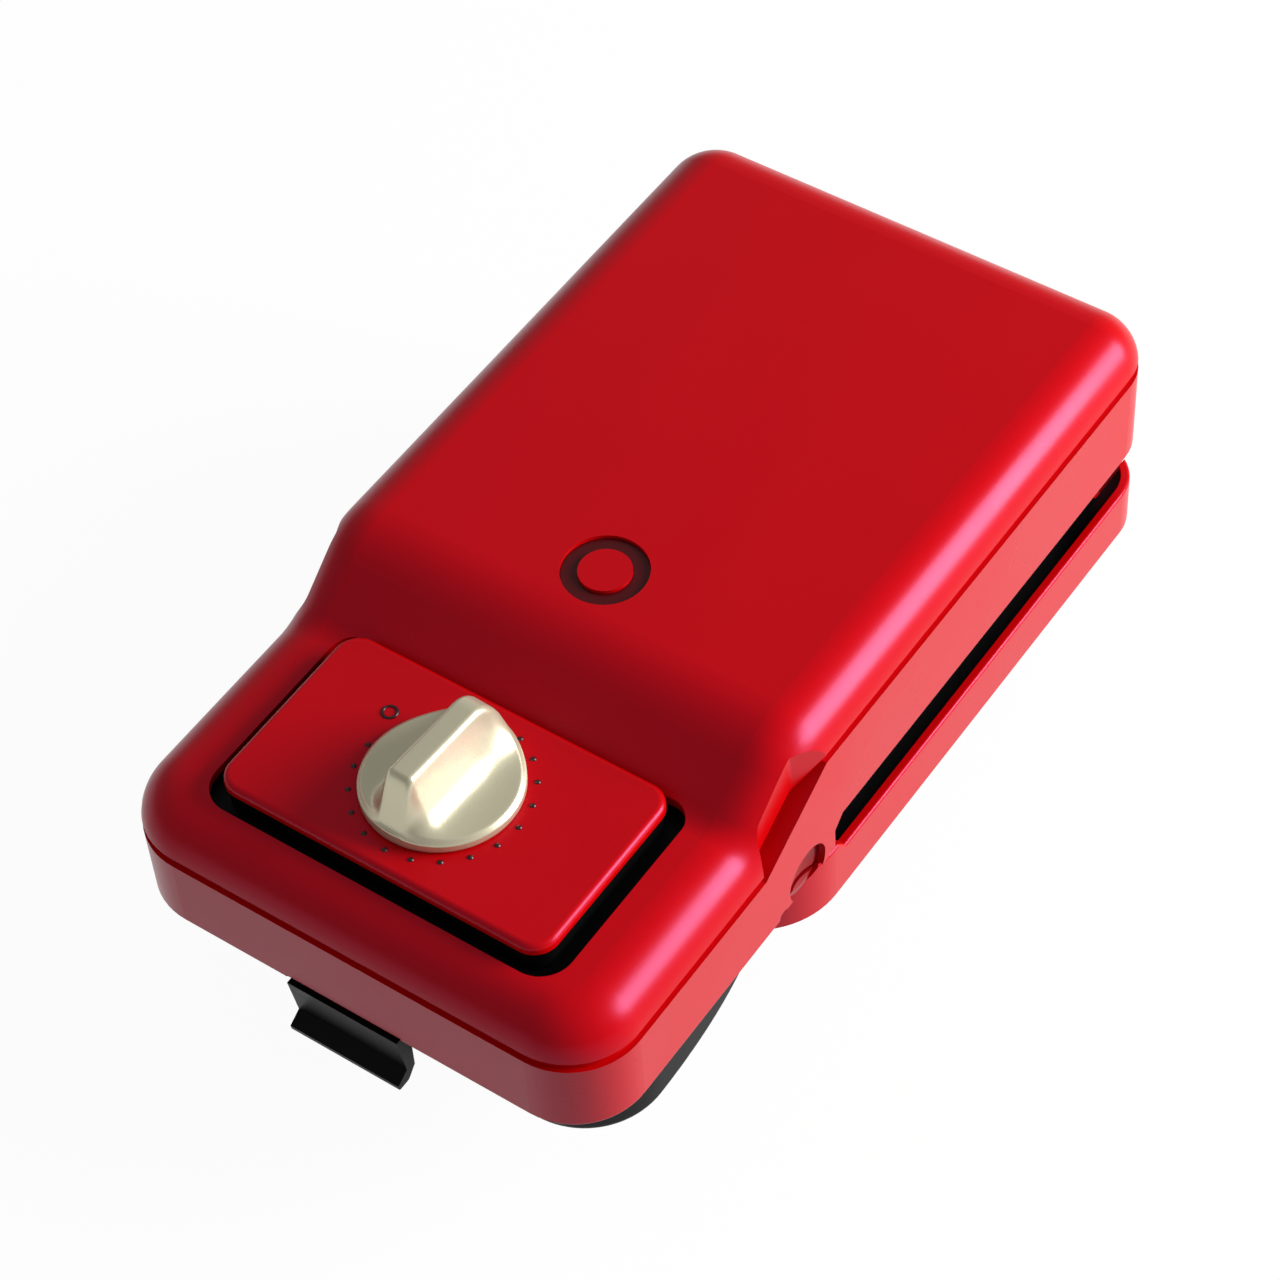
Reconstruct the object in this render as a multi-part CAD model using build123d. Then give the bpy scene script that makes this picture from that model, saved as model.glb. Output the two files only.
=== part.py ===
from build123d import *
import math
import os

os.makedirs("parts", exist_ok=True)

# A one-slice sandwich maker: a lid with a long front handle that holds a timer, on a shallow base.
# Millimetres. X is right, -Y is the front, Z is up from the underside of the feet.

# Case
case_width = 132.0
case_length = 239.4
case_height = 95.0
drawn_width = 132.0
drawn_length = 239.4
latch_lip_reach = 2.5
front_corner_radius = 18.0
rear_corner_radius = 13.4
wall = 2.2
crown_radius = 12.6
edge_round = 0.8

half_width = case_width / 2
rear_y = (case_length + latch_lip_reach) / 2
front_y = rear_y - case_length

# Top line of the lid, seen from the side
handle_top_z = 79.3
crest_y = -35.2
slope_foot_y = -54.2
crest_round = 22.0
valley_round = 9.0

# Waist, where the cover draws in beside the slope
waist_depth = 4.0
waist_front_y = -52.4
waist_front_ramp = 3.0
waist_rear_y = -26.5
waist_rear_ramp = 9.0
waist_round = 3.0

# Seam between the cover and the frame of the lid
seam_drop = 13.6
seam_gap = 2.8
seam_depth = 1.2
tongue_thickness = 1.4
seam_slope_rear_y = -26.7
seam_slope_front_y = -51.7

# Slot between the halves, and the parting line in front of it
slot_bottom_z = 43.0
slot_top_z = 56.0
slot_front_y = -23.2
slot_corner = 3.0
slot_ramp = 3.0
parting_z = 46.5
parting_gap = 0.4

# Underside of the lid handle
handle_floor_z = 45.0

# Base band
base_front_y = -45.7
base_front_radius = 22.0
band_bottom_z = 29.0
handle_step_gap = 0.5

# Hinge
hinge_z = 49.5
ear_radius = 7.0
hinge_rear_gap = 0.25
ear_outer_inset = 7.0
ear_width = 8.0
barrel_radius = 6.5
barrel_length = 9.4
hinge_side_gap = 0.3
hinge_swing_gap = 0.4
hinge_pin_radius = 2.5
hinge_running_gap = 0.06
bay_side_inset = 5.5
bay_floor_z = 40.2
bay_depth = 15.0

# Cooking plates
plate_side = 118.0
plate_centre_y = 39.3
plate_flange = 3.0
plate_gap = 0.6
pan_side = 108.0
pan_depth = 9.0
pocket_side = 102.0
pocket_depth = 10.0
pocket_draft = 12.0
plate_corner = 10.0

# Heaters
heater_radius = 3.2
heater_half_span = 30.0
heater_bend_y = 50.3
heater_seat_gap = 0.1
heater_tail = 9.0
heater_pin_radius = 1.4
heater_pin = 6.0

# Heat shields
shield_thickness = 0.8
shield_side = 113.0
shield_flange = 2.6
shield_air = 4.6
shield_clearance = 0.6
shelf_thickness = 2.0
shelf_z = 57.2
shelf_opening_margin = 1.0

# Thermostat and thermal fuse on the upper shield
thermostat_radius = 8.0
thermostat_height = 5.0
strap_reach = 6.0
strap_width = 6.0
strap_thickness = 1.0
fuse_distance = 22.0
fuse_half = 7.0
fuse_radius = 2.0
fuse_lead = 9.0
fuse_lead_radius = 0.5
fuse_clip = 1.0

# Timer panel, its tray and the opening of the cover
panel_width = 89.0
panel_length = 51.0
panel_centre_y = -79.0
panel_top_z = 85.0
panel_corner = 6.0
panel_edge_round = 1.6
panel_cap = 2.8
panel_overhang = 0.7
panel_rim_height = 2.0
panel_rim_gap = 0.1
panel_side_gap = 3.8
panel_front_gap = 2.6
panel_rear_gap = 0.9
tray_floor_z = 73.5
tray_floor = 2.0
tray_wall = 1.5
tray_lap = 1.4
tray_rim_gap = 1.0
tray_lug_length = 20.0

# Knob
knob_radius = 18.65
knob_height = 16.8
knob_skirt = 3.2
knob_rim = 2.2
knob_bore = 7.5
knob_float = 0.5
ridge_half_width = 3.2
ridge_foot = 10.5
ridge_near_y = -13.0
ridge_far_y = 16.8
knob_turn = -2.5
shaft_radius = 3.0
shaft_flat = 0.6
shaft_running_gap = 0.06

# Timer works
timer_case_side = 46.0
timer_case_height = 22.0
timer_case_wall = 1.0
barrel_drum_radius = 14.0
cam_radius = 10.0
cam_height = 3.0
cam_notch_half = 2.0
drum_height = 7.0
bell_y = -39.7
bell_radius = 12.0
bell_height = 8.0
bell_wall = 1.0
bell_lift = 3.0
bell_round = 6.0

# Indicator on the lid
indicator_y = -15.7
indicator_outer_radius = 10.2
indicator_inner_radius = 6.3
indicator_recess = 0.9
indicator_fit = 0.15
sleeve_floor = 1.2
sleeve_wall = 1.5
lamp_radius = 2.5
lamp_collar = 0.9

# Side recess with the two plate release buttons
recess_y = -35.2
recess_z = 50.6
recess_radius = 7.3
recess_depth = 2.2
button_travel = 3.0
button_gap = 0.35
button_face_inset = 2.0
hook_inset = 23.6
hook_width = 2.6
hook_arm = 3.0
hook_thickness = 1.6
stem_drop = 2.6

# Latch
latch_x = -2.9
latch_width = 30.6
latch_pivot_inset = 6.25
latch_pivot_z = 53.0
latch_pin_radius = 1.5
latch_running_gap = 0.06
latch_hub_radius = 3.0
latch_top_z = 44.6
latch_kink_z = 32.0
latch_bottom_z = 27.2
latch_notch_height = 1.2
latch_side_gap = 0.7
latch_catch_gap = 0.3
latch_plate = 2.8
latch_corner = 2.2
nose_half_width = 9.0
lug_width = 3.5
lug_reach = 4.0

# Lower handle
lower_handle_front_inset = 8.25
lower_handle_side_inset = 3.6
lower_handle_rear_inset = 8.5
lower_handle_radius = 20.0
lower_handle_bottom_z = 27.0
lower_handle_top_gap = 0.8
handle_round = 2.5
handle_screw_x = 30.0

# Base pan, feet and screws
pan_top_inset = 1.8
pan_bottom_z = 4.0
pan_bottom_side_inset = 16.0
pan_bottom_front_y = -21.7
pan_bottom_front_radius = 24.0
pan_bottom_rear_radius = 14.0
pan_bottom_rear_inset = 13.25
foot_radius = 7.0
foot_x = 38.0
foot_front_y = -1.7
foot_rear_y = 95.0
foot_stem_radius = 2.9
foot_stem_height = 3.0
screw_radius = 1.5
screw_head_radius = 2.8
screw_head_height = 2.0
boss_radius = 3.8
boss_x = 22.0
boss_front_y = -22.2
boss_rear_inset = 15.75
boss_split_z = 14.0
well_radius = 5.0
base_screw_seat_z = 12.0
base_screw_length = 14.0

# Cord inlet
bush_x = 34.0
bush_z = 20.0
bush_bore_radius = 3.6
bush_radius = 6.0
bush_length = 14.0
bush_rear_inset = 3.2

# Terminal block in the pan
terminal_y = 60.0
terminal_width = 28.0
terminal_length = 16.0
terminal_height = 11.0
terminal_pitch = 9.0
terminal_bore_radius = 2.2
terminal_screw_radius = 1.8
terminal_screw_inset = 4.0

# Screw bosses of the lid
lid_boss_side_inset = 9.0
lid_boss_front_y = -71.7
lid_boss_rear_x = 33.0
lid_boss_rear_inset = 10.75

# Places that follow the case when it is made longer or wider
along = case_length / drawn_length
across = case_width / drawn_width
crest_y *= along
slope_foot_y *= along
crest_round *= along
valley_round *= along
waist_front_y *= along
waist_rear_y *= along
seam_slope_rear_y *= along
seam_slope_front_y *= along
slot_front_y *= along
base_front_y *= along
plate_centre_y *= along
heater_bend_y *= along
heater_half_span *= across
panel_centre_y *= along
panel_length *= along
panel_width *= across
indicator_y *= along
recess_y *= along
pan_bottom_front_y *= along
foot_front_y *= along
foot_rear_y *= along
foot_x *= across
boss_front_y *= along
boss_x *= across
bush_x *= across
bell_y *= along
terminal_y *= along
lid_boss_front_y *= along
lid_boss_rear_x *= across
handle_screw_x *= across
hinge_y = rear_y - ear_radius - hinge_rear_gap
ear_outer_x = half_width - ear_outer_inset
ear_inner_x = ear_outer_x - ear_width
bay_half_width = half_width - bay_side_inset
hook_x0 = half_width - hook_inset
latch_pivot_y = front_y + latch_pivot_inset
lower_handle_front_y = front_y + lower_handle_front_inset
lower_handle_half_width = half_width - lower_handle_side_inset
lower_handle_rear_half = half_width - lower_handle_rear_inset
pan_bottom_half_width = half_width - pan_bottom_side_inset
pan_bottom_rear_y = rear_y - pan_bottom_rear_inset
boss_rear_y = rear_y - boss_rear_inset
bush_rear_y = rear_y - bush_rear_inset
lid_boss_x = half_width - lid_boss_side_inset
lid_boss_rear_y = rear_y - lid_boss_rear_inset


# Blocks used for cutting: their reach past the case, and how far a cut runs past a face
far_side = 80.0
far_top = 120.0
far_step = 20.0
overrun = 5.0
pick_margin = 0.1
same_place = 0.01

# Fits and running gaps of small parts
close_fit = 0.1
screw_clearance = 0.2
head_clearance = 0.3
panel_shaft_clearance = 0.6
drum_running_gap = 0.4
tail_clearance = 0.4

# Depths and walls of bosses, bores and webs
cross_width = 0.7
lid_screw_floor = 2.6
lid_pilot_depth = 12.0
bulkhead_drop = 8.0
tail_hole_depth = 9.0
barrel_web_inset = 1.5
ear_web_inset = 2.5
latch_notch_margin = 1.5
bush_wall = 1.5
case_neck_rise = 1.5
case_foot_height = 2.5
drum_lift = 3.0
cam_lift = 1.5
timer_screw_grip = 1.8
lid_screw_length = 10.0
handle_hole_depth = 6.0
handle_boss_depth = 9.0
handle_screw_length = 7.0
pilot_roof = 3.0
recess_cut_depth = 9.0

# Knob edges and lens flange
knob_edge = 0.4
knob_bevel = 1.2
ridge_edge = 0.8
ridge_sink = 0.2
ridge_swell = 1.7
ridge_nose = 0.9
lens_flange_lap = 1.6
lens_flange_thickness = 1.4
lens_step = 0.4

# Latch section: steps of its plate, stem and nose
latch_setback = 0.8
latch_slant = 0.15
latch_bend_drop = 2.4
latch_lip_step = 0.2
latch_lip_round = 1.2
latch_lip_depth = 3.6
latch_lip_rise = 0.6
latch_head_depth = 3.5
latch_stem_half = 1.5
nose_foot_rise = 0.6
nose_low = 1.4
nose_high = 3.0
nose_top = 4.4
nose_taper = 3.4

# Release buttons: pad, dish, hook and the ways cut for them
pad_rim = 1.2
pad_depth = 2.1
dish_offset = 10.5
dish_radius = 12.0
hook_lap = 1.2
hook_start = 0.1
pad_keep_half = 9.0
stem_gap = 1.4
tip_gap = 0.1
tip_trim = 0.2
lower_stem_inset = 1.5
way_gap = 0.6
flange_way_gap = 0.4
flange_free_gap = 0.2
pad_way_bottom_z = 37.0
pad_way_top_z = 61.0


def outline(inset, front, rear, r_front, r_rear, half):
    """Plan of a case level, with round corners drawn in by the inset."""
    plan = Pos(0, (front + rear) / 2) * Rectangle(2 * (half - inset), rear - front - 2 * inset)
    front_corners = plan.vertices().sort_by(Axis.Y)[:2]
    plan = fillet(front_corners, r_front - inset)
    rear_corners = plan.vertices().sort_by(Axis.Y)[-2:]
    return fillet(rear_corners, r_rear - inset)


def prism(plan, z0, z1):
    return Pos(0, 0, z0) * extrude(plan, z1 - z0)


def box(x0, x1, y0, y1, z0, z1):
    return Pos((x0 + x1) / 2, (y0 + y1) / 2, (z0 + z1) / 2) * Box(x1 - x0, y1 - y0, z1 - z0)


def rod(x, y, z0, z1, r):
    return Pos(x, y, (z0 + z1) / 2) * Cylinder(r, z1 - z0)


def rod_x(x0, x1, y, z, r):
    return Pos((x0 + x1) / 2, y, z) * Rot(0, 90, 0) * Cylinder(r, x1 - x0)


def rod_y(x, y0, y1, z, r):
    return Pos(x, (y0 + y1) / 2, z) * Rot(90, 0, 0) * Cylinder(r, y1 - y0)


def both_sides(solid):
    return solid + mirror(solid, Plane.YZ)


def side_region(points, half=far_side):
    """Solid whose side view is the polygon of (y, z) points."""
    face = make_face(Polyline(*[(0, y, z) for y, z in points], close=True))
    return extrude(face, half, both=True)


def below(path, floor=-overrun):
    """Everything under a (y, z) path that runs from front to rear."""
    return side_region([(path[0][0], floor)] + path + [(path[-1][0], floor)])


def shifted(path, dz):
    return [(y, z + dz) for y, z in path]


deck_z = 2 * hinge_z - shelf_z
far_front = front_y - far_step
far_rear = rear_y + far_step
seam_body_z = case_height - seam_drop
seam_handle_z = seam_body_z - (case_height - handle_top_z)

frame_top = [
    (far_front, seam_handle_z),
    (seam_slope_front_y, seam_handle_z),
    (seam_slope_rear_y, seam_body_z),
    (far_rear, seam_body_z),
]

frame_bottom = [
    (far_front, handle_floor_z),
    (base_front_y - handle_step_gap, handle_floor_z),
    (base_front_y - handle_step_gap, parting_z + parting_gap / 2),
    (slot_front_y, parting_z + parting_gap / 2),
    (slot_front_y, slot_top_z - slot_corner),
    (slot_front_y + slot_corner, slot_top_z),
    (far_rear, slot_top_z),
]

base_top = [
    (far_front, parting_z - parting_gap / 2),
    (slot_front_y + 1, parting_z - parting_gap / 2),
    (slot_front_y + 1 + slot_ramp, slot_bottom_z),
    (far_rear, slot_bottom_z),
]

deck_top = [
    (far_front, parting_z - parting_gap / 2),
    (slot_front_y + 1, parting_z - parting_gap / 2),
    (slot_front_y + 1.5, deck_z),
    (far_rear, deck_z),
]


def case_plan(inset):
    return outline(inset, front_y, rear_y, front_corner_radius, rear_corner_radius, half_width)


def waist_cutters(inset):
    """Upright blocks that draw the cover in beside the slope, with a short and a long ramp."""
    inner_x = half_width - waist_depth - inset
    outer_x = half_width + 4 * waist_depth
    stretch = 4 + inset / waist_depth
    plan = make_face(Polyline(
        (inner_x, waist_front_y + waist_front_ramp),
        (inner_x, waist_rear_y - waist_rear_ramp),
        (outer_x, waist_rear_y + stretch * waist_rear_ramp),
        (outer_x, waist_front_y - stretch * waist_front_ramp),
        close=True,
    ))
    plan = fillet(plan.vertices().sort_by(Axis.X)[:2], waist_round)
    return both_sides(prism(plan, handle_floor_z, case_height + overrun))


def top_line(inset):
    """Face under the top line of the lid, drawn in by the inset."""
    z_body = case_height - inset
    z_handle = handle_top_z - inset
    angle = math.atan2(case_height - handle_top_z, crest_y - slope_foot_y)
    shift = inset * math.tan(angle / 2)
    points = [
        (far_front, -overrun),
        (far_front, z_handle),
        (slope_foot_y + shift, z_handle),
        (crest_y + shift, z_body),
        (far_rear, z_body),
        (far_rear, -overrun),
    ]
    face = make_face(Polyline(*[(0, y, z) for y, z in points], close=True))
    foot = [v for v in face.vertices() if abs(v.Y - slope_foot_y - shift) < same_place]
    face = fillet(foot, valley_round + inset)
    crest = [v for v in face.vertices() if abs(v.Y - crest_y - shift) < same_place]
    return fillet(crest, crest_round - inset)


def is_cross_edge(edge):
    """True for the edges that run across the lid inside its top face."""
    size = edge.bounding_box().size
    return size.X > case_width / 2 and size.Y < 0.5 and abs(edge.center().Y) < case_length / 3


def is_cross_line(bounds):
    """True for a straight line across a block, away from its front and rear faces."""
    straight = bounds.size.X > case_width / 2 and bounds.size.Y < 0.5
    return straight and front_y + 1 < bounds.min.Y < rear_y - 1 and abs(bounds.min.Y - base_front_y) > 1


def rim_edges(block, low, high):
    """Outer edges of a block that lie between two heights."""
    boxes = [(edge, edge.bounding_box()) for edge in block.edges()]
    level = [(edge, bounds) for edge, bounds in boxes if bounds.min.Z > low and bounds.max.Z < high]
    return [edge for edge, bounds in level if not is_cross_line(bounds)]


def case_envelope(inset):
    """Outer form of the lid, solid from low down, with the crown rounded."""
    body = prism(case_plan(inset), handle_floor_z - overrun, case_height + overrun)
    body &= extrude(top_line(inset), 90, both=True)
    high = handle_top_z - inset - 1.0
    edges = [e for e in body.edges() if e.bounding_box().min.Z > high]
    crown = [e for e in edges if not is_cross_edge(e)]
    return fillet(crown, crown_radius - inset)


def write(name, part):
    """One STEP file for each node, with its solids kept apart."""
    solids = part.solids()
    shape = solids[0] if len(solids) == 1 else Compound(children=list(solids))
    shape.label = name
    export_step(shape, f"parts/{name}.step")


def u_path(half_span, start_y, bend_y, z):
    """U-shaped centre line, open to the front."""
    leg_a = Line((-half_span, start_y, z), (-half_span, bend_y, z))
    bend = ThreePointArc((-half_span, bend_y, z), (0, bend_y + half_span, z), (half_span, bend_y, z))
    leg_b = Line((half_span, bend_y, z), (half_span, start_y, z))
    return Wire([*leg_a.edges(), *bend.edges(), *leg_b.edges()])


def square_plan(side):
    """Plan of a plate or its shield, square in a case of the drawn length and width."""
    return Pos(0, plate_centre_y) * RectangleRounded(side * across, side * along, plate_corner)


def screw(x, y, z_head, length, up=1):
    """Pan-head screw with a cross slot; its shank points up or down from the head."""
    z_end = z_head + up * length
    shank = rod(x, y, min(z_head, z_end), max(z_head, z_end), screw_radius)
    z_top = z_head - up * screw_head_height
    head = rod(x, y, min(z_head, z_top), max(z_head, z_top), screw_head_radius)
    slot_z = z_top + up * screw_head_height / 4
    cross = Pos(x, y, slot_z) * Box(2 * screw_radius, cross_width, screw_head_height / 2)
    cross += Pos(x, y, slot_z) * Box(cross_width, 2 * screw_radius, screw_head_height / 2)
    return shank + head - cross


def flip(solid):
    """The same form turned upside down about the plane where the plates meet."""
    return mirror(solid, Plane.XY.offset(hinge_z))


plate_front_y = plate_centre_y - along * plate_side / 2
plate_face_z = hinge_z - plate_gap / 2
flange_bottom_z = plate_face_z - plate_flange
pan_back_z = flange_bottom_z - pan_depth
heater_z = pan_back_z - heater_radius - heater_seat_gap
lid_floor_top_z = handle_floor_z + wall
lid_screw_seat_z = lid_floor_top_z + lid_screw_floor
shelf_top_z = shelf_z + shelf_thickness
shelf_opening_side = shield_side + 2 * shelf_opening_margin

def above_floor():
    """Block over the whole case, from the floor up."""
    return box(-far_side, far_side, far_front, far_rear, 0, far_top)


# Lid cover: domed shell with the panel opening, the indicator seat and four screw bosses
above_seam = above_floor() - below(shifted(frame_top, seam_gap))
outer = case_envelope(0.0)
inner = case_envelope(wall)
lid_shell = (outer - waist_cutters(0.0)) - (inner - waist_cutters(wall))
opening_front_y = panel_centre_y - panel_length / 2 - panel_front_gap
opening_rear_y = panel_centre_y + panel_length / 2 + panel_rear_gap
opening_half = panel_width / 2 + panel_side_gap
opening = outline(0, opening_front_y, opening_rear_y, panel_corner + 2, panel_corner - 1, opening_half)
lid_cover = (lid_shell & above_seam) - prism(opening, tray_floor_z, case_height - 4)
lid_boss_places = [
    (lid_boss_x, lid_boss_front_y, lid_screw_seat_z),
    (lid_boss_rear_x, lid_boss_rear_y, shelf_top_z),
]
for x, y, z in lid_boss_places:
    lid_cover += both_sides(rod(x, y, z, case_height - 1, boss_radius)) & outer
    lid_cover -= both_sides(rod(x, y, z, z + lid_pilot_depth, screw_radius))
seat_radius = indicator_outer_radius + indicator_fit
lid_cover -= rod(0, indicator_y, case_height - 2 * wall, case_height + 1, seat_radius)

# Lid frame: side band, handle underside, shelf for the heat shield, bulkhead and hinge barrels
full_block = prism(case_plan(0), handle_floor_z - 2 * overrun, case_height + overrun)
hollow_block = prism(case_plan(wall), handle_floor_z - 4 * overrun, case_height + overrun)
tongue_outer = prism(case_plan(seam_depth), handle_floor_z, far_top) - waist_cutters(seam_depth)
tongue_inner_plan = seam_depth + tongue_thickness
tongue_inner = prism(case_plan(tongue_inner_plan), handle_floor_z - 1, far_top)
tongue_inner -= waist_cutters(tongue_inner_plan)
under_top = below(frame_top)
over_bottom = above_floor() - below(frame_bottom)
lid_block = full_block & under_top & over_bottom
lid_block = fillet(rim_edges(lid_block, handle_floor_z - pick_margin, slot_top_z + pick_margin), edge_round)
band = lid_block - hollow_block
ledge = (full_block - tongue_inner) & (under_top - below(shifted(frame_top, -wall)))
tongue_zone = below(shifted(frame_top, seam_gap)) - below(shifted(frame_top, -wall))
tongue = (tongue_outer - tongue_inner) & tongue_zone
floor_zone = box(-far_side, far_side, far_front, slot_front_y, 0, far_top)
floor = hollow_block & floor_zone & (below(shifted(frame_bottom, wall)) & over_bottom)
bulkhead = hollow_block & box(
    -far_side, far_side, slot_front_y - wall, slot_front_y,
    parting_z + parting_gap / 2, seam_body_z - bulkhead_drop,
)
tail_radius = heater_radius + tail_clearance
for side in (-1, 1):
    tail_x = side * heater_half_span
    tail_front_y = slot_front_y - tail_hole_depth
    bulkhead -= rod_y(tail_x, tail_front_y, slot_front_y + 1, 2 * hinge_z - heater_z, tail_radius)
shelf_zone = box(-far_side, far_side, slot_front_y, far_rear, shelf_z, shelf_top_z)
shelf = (hollow_block & shelf_zone) - prism(square_plan(shelf_opening_side), 0, far_top)
barrel_x0 = ear_inner_x - hinge_side_gap - barrel_length
barrel_x1 = ear_inner_x - hinge_side_gap
barrel = rod_x(barrel_x0, barrel_x1, hinge_y, hinge_z, barrel_radius)
barrel_rear_y = hinge_y + barrel_radius - barrel_web_inset
barrel += box(barrel_x0, barrel_x1, hinge_y - barrel_radius, barrel_rear_y, hinge_z, shelf_z)
lid_frame = band + ledge + tongue + floor + bulkhead
upper_inner_frame = shelf + both_sides(barrel)
scoop_outer_x = ear_outer_x + hinge_side_gap
ear_scoop = rod_x(ear_inner_x - 0.01, scoop_outer_x, hinge_y, hinge_z, ear_radius + hinge_swing_gap)
lid_frame -= both_sides(ear_scoop)
pin_bore = rod_x(barrel_x0 - 1, barrel_x1 + 1, hinge_y, hinge_z, hinge_pin_radius + hinge_running_gap)
upper_inner_frame -= both_sides(pin_bore)
lid_frame += both_sides(rod(lid_boss_x, lid_boss_front_y, handle_floor_z, lid_screw_seat_z, boss_radius + 1))
lid_frame -= both_sides(
    rod(
        lid_boss_x, lid_boss_front_y, handle_floor_z - 1, lid_screw_seat_z - wall,
        screw_head_radius + head_clearance,
    )
)
for x, y, z in lid_boss_places:
    clearance_hole = both_sides(rod(x, y, z - overrun, z + 1, screw_radius + screw_clearance))
    lid_frame -= clearance_hole
    upper_inner_frame -= clearance_hole
notch_half = latch_width / 2 + latch_side_gap
notch_rear_y = latch_pivot_y + latch_hub_radius + latch_notch_margin
notch_top_z = lid_floor_top_z + 1
latch_place = Pos(latch_x, 0)
notch = box(-notch_half, notch_half, front_y - 1, notch_rear_y, handle_floor_z - 1, notch_top_z)
notch_front = box(
    -notch_half, notch_half, front_y, front_y + wall, handle_floor_z + latch_notch_height, notch_top_z
)
lug_end_x = notch_half + lug_width
lug_rear_y = latch_pivot_y + lug_reach
lug_top_z = latch_pivot_z + lug_reach
latch_lug = box(notch_half, lug_end_x, front_y + wall / 2, lug_rear_y, handle_floor_z + 1, lug_top_z)
pin_half = notch_half + lug_width - 1
pin_rod = rod_x(-pin_half, pin_half, latch_pivot_y, latch_pivot_z, latch_pin_radius)
lid_frame = lid_frame - latch_place * notch + latch_place * (notch_front + both_sides(latch_lug))
lid_frame -= latch_place * pin_rod

# Round side recess, shared by the lid frame and the base frame
recess_cut = rod_x(half_width - recess_depth - wall - 1, half_width + 1, recess_y, recess_z, recess_radius)
recess_boss = rod_x(half_width - recess_depth - wall, half_width, recess_y, recess_z, recess_radius + wall)
recess_boss = recess_boss & box(0, far_side, far_front, far_rear, parting_z + parting_gap / 2, far_side)
lid_frame += recess_boss
lid_frame -= recess_cut

# Panel tray under the opening, and the raised panel that stands in it
tray_plan = outline(
    -tray_lap, opening_front_y, opening_rear_y, panel_corner + 2, panel_corner - 1, opening_half
)
tray_hollow = outline(
    -tray_lap + tray_wall, opening_front_y, opening_rear_y, panel_corner + 2, panel_corner - 1, opening_half
)
cover_underside_z = handle_top_z - wall
tray_rim_z = cover_underside_z - tray_rim_gap
panel_tray = prism(tray_plan, tray_floor_z, tray_rim_z)
panel_tray -= prism(tray_hollow, tray_floor_z + tray_floor, tray_rim_z + 1)
lug_y0 = panel_centre_y - tray_lug_length / 2
lug_y1 = panel_centre_y + tray_lug_length / 2
tray_half = opening_half + tray_lap
panel_tray += both_sides(box(opening_half, tray_half, lug_y0, lug_y1, tray_rim_z - 1, cover_underside_z))
bush_outer_radius = shaft_radius + bush_wall
panel_tray -= rod(0, panel_centre_y, tray_floor_z - 1, tray_floor_z + tray_floor + 1, bush_outer_radius + 0.1)
timer_screw_x = timer_case_side / 2 - 4
for side in (-1, 1):
    panel_tray -= rod(side * timer_screw_x, panel_centre_y, tray_floor_z - 1, tray_rim_z, screw_radius + 0.1)

panel_floor_z = tray_floor_z + tray_floor
panel_place = Pos(0, panel_centre_y)


def panel_plan(inset):
    """Plan of the panel, drawn in by the inset."""
    return panel_place * RectangleRounded(
        panel_width - 2 * inset, panel_length - 2 * inset, panel_corner - inset
    )


# Black pedestal of the tray, and the red panel that caps it
pedestal_top_z = panel_top_z - panel_cap
pedestal_inset = panel_overhang + tray_wall
panel_tray += prism(panel_plan(panel_overhang), panel_floor_z, pedestal_top_z) - prism(
    panel_plan(pedestal_inset), panel_floor_z - 1, pedestal_top_z + 1
)
timer_panel = prism(panel_plan(0), pedestal_top_z, panel_top_z)
timer_panel = fillet(timer_panel.edges().group_by(Axis.Z)[-1], panel_edge_round)
rim_inset = pedestal_inset + panel_rim_gap
timer_panel += prism(panel_plan(rim_inset), pedestal_top_z - panel_rim_height, pedestal_top_z)
timer_panel -= prism(panel_plan(rim_inset + tray_wall), panel_floor_z, pedestal_top_z)
timer_panel -= rod(0, panel_centre_y, panel_floor_z, panel_top_z + 1, shaft_radius + panel_shaft_clearance)

# Timer works under the tray
case_top_z = tray_floor_z
case_floor_z = case_top_z - timer_case_height
timer_case = panel_place * Pos(0, 0, (case_top_z + case_floor_z) / 2) * Box(
    timer_case_side, timer_case_side, timer_case_height
)
timer_case -= panel_place * Pos(0, 0, (case_top_z + case_floor_z) / 2) * Box(
    timer_case_side - 2 * timer_case_wall,
    timer_case_side - 2 * timer_case_wall,
    timer_case_height - 2 * timer_case_wall,
)
neck_top_z = panel_floor_z + case_neck_rise
timer_case += rod(0, panel_centre_y, case_top_z - timer_case_wall, neck_top_z, bush_outer_radius)
timer_case += rod(0, panel_centre_y, case_floor_z, case_floor_z + case_foot_height, bush_outer_radius)
timer_bore = shaft_radius + shaft_running_gap
timer_case -= rod(0, panel_centre_y, case_floor_z - 1, panel_floor_z + overrun, timer_bore)
for side in (-1, 1):
    timer_case -= rod(side * timer_screw_x, panel_centre_y, case_top_z - 2, case_top_z + 1, screw_radius)

knob_floor_z = panel_top_z + knob_float
shaft_bottom_z = case_floor_z + 0.5
shaft_top_z = knob_floor_z + knob_bore
timer_shaft = rod(0, panel_centre_y, shaft_bottom_z, shaft_top_z, shaft_radius)
flat_y = shaft_flat - shaft_radius
shaft_cut = Rot(0, 0, knob_turn) * box(-5, 5, -shaft_radius - 5, flat_y, 0, shaft_top_z + 1)
timer_shaft -= (Pos(0, panel_centre_y) * shaft_cut) & box(-9, 9, far_front, 0, panel_top_z, shaft_top_z + 1)

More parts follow.
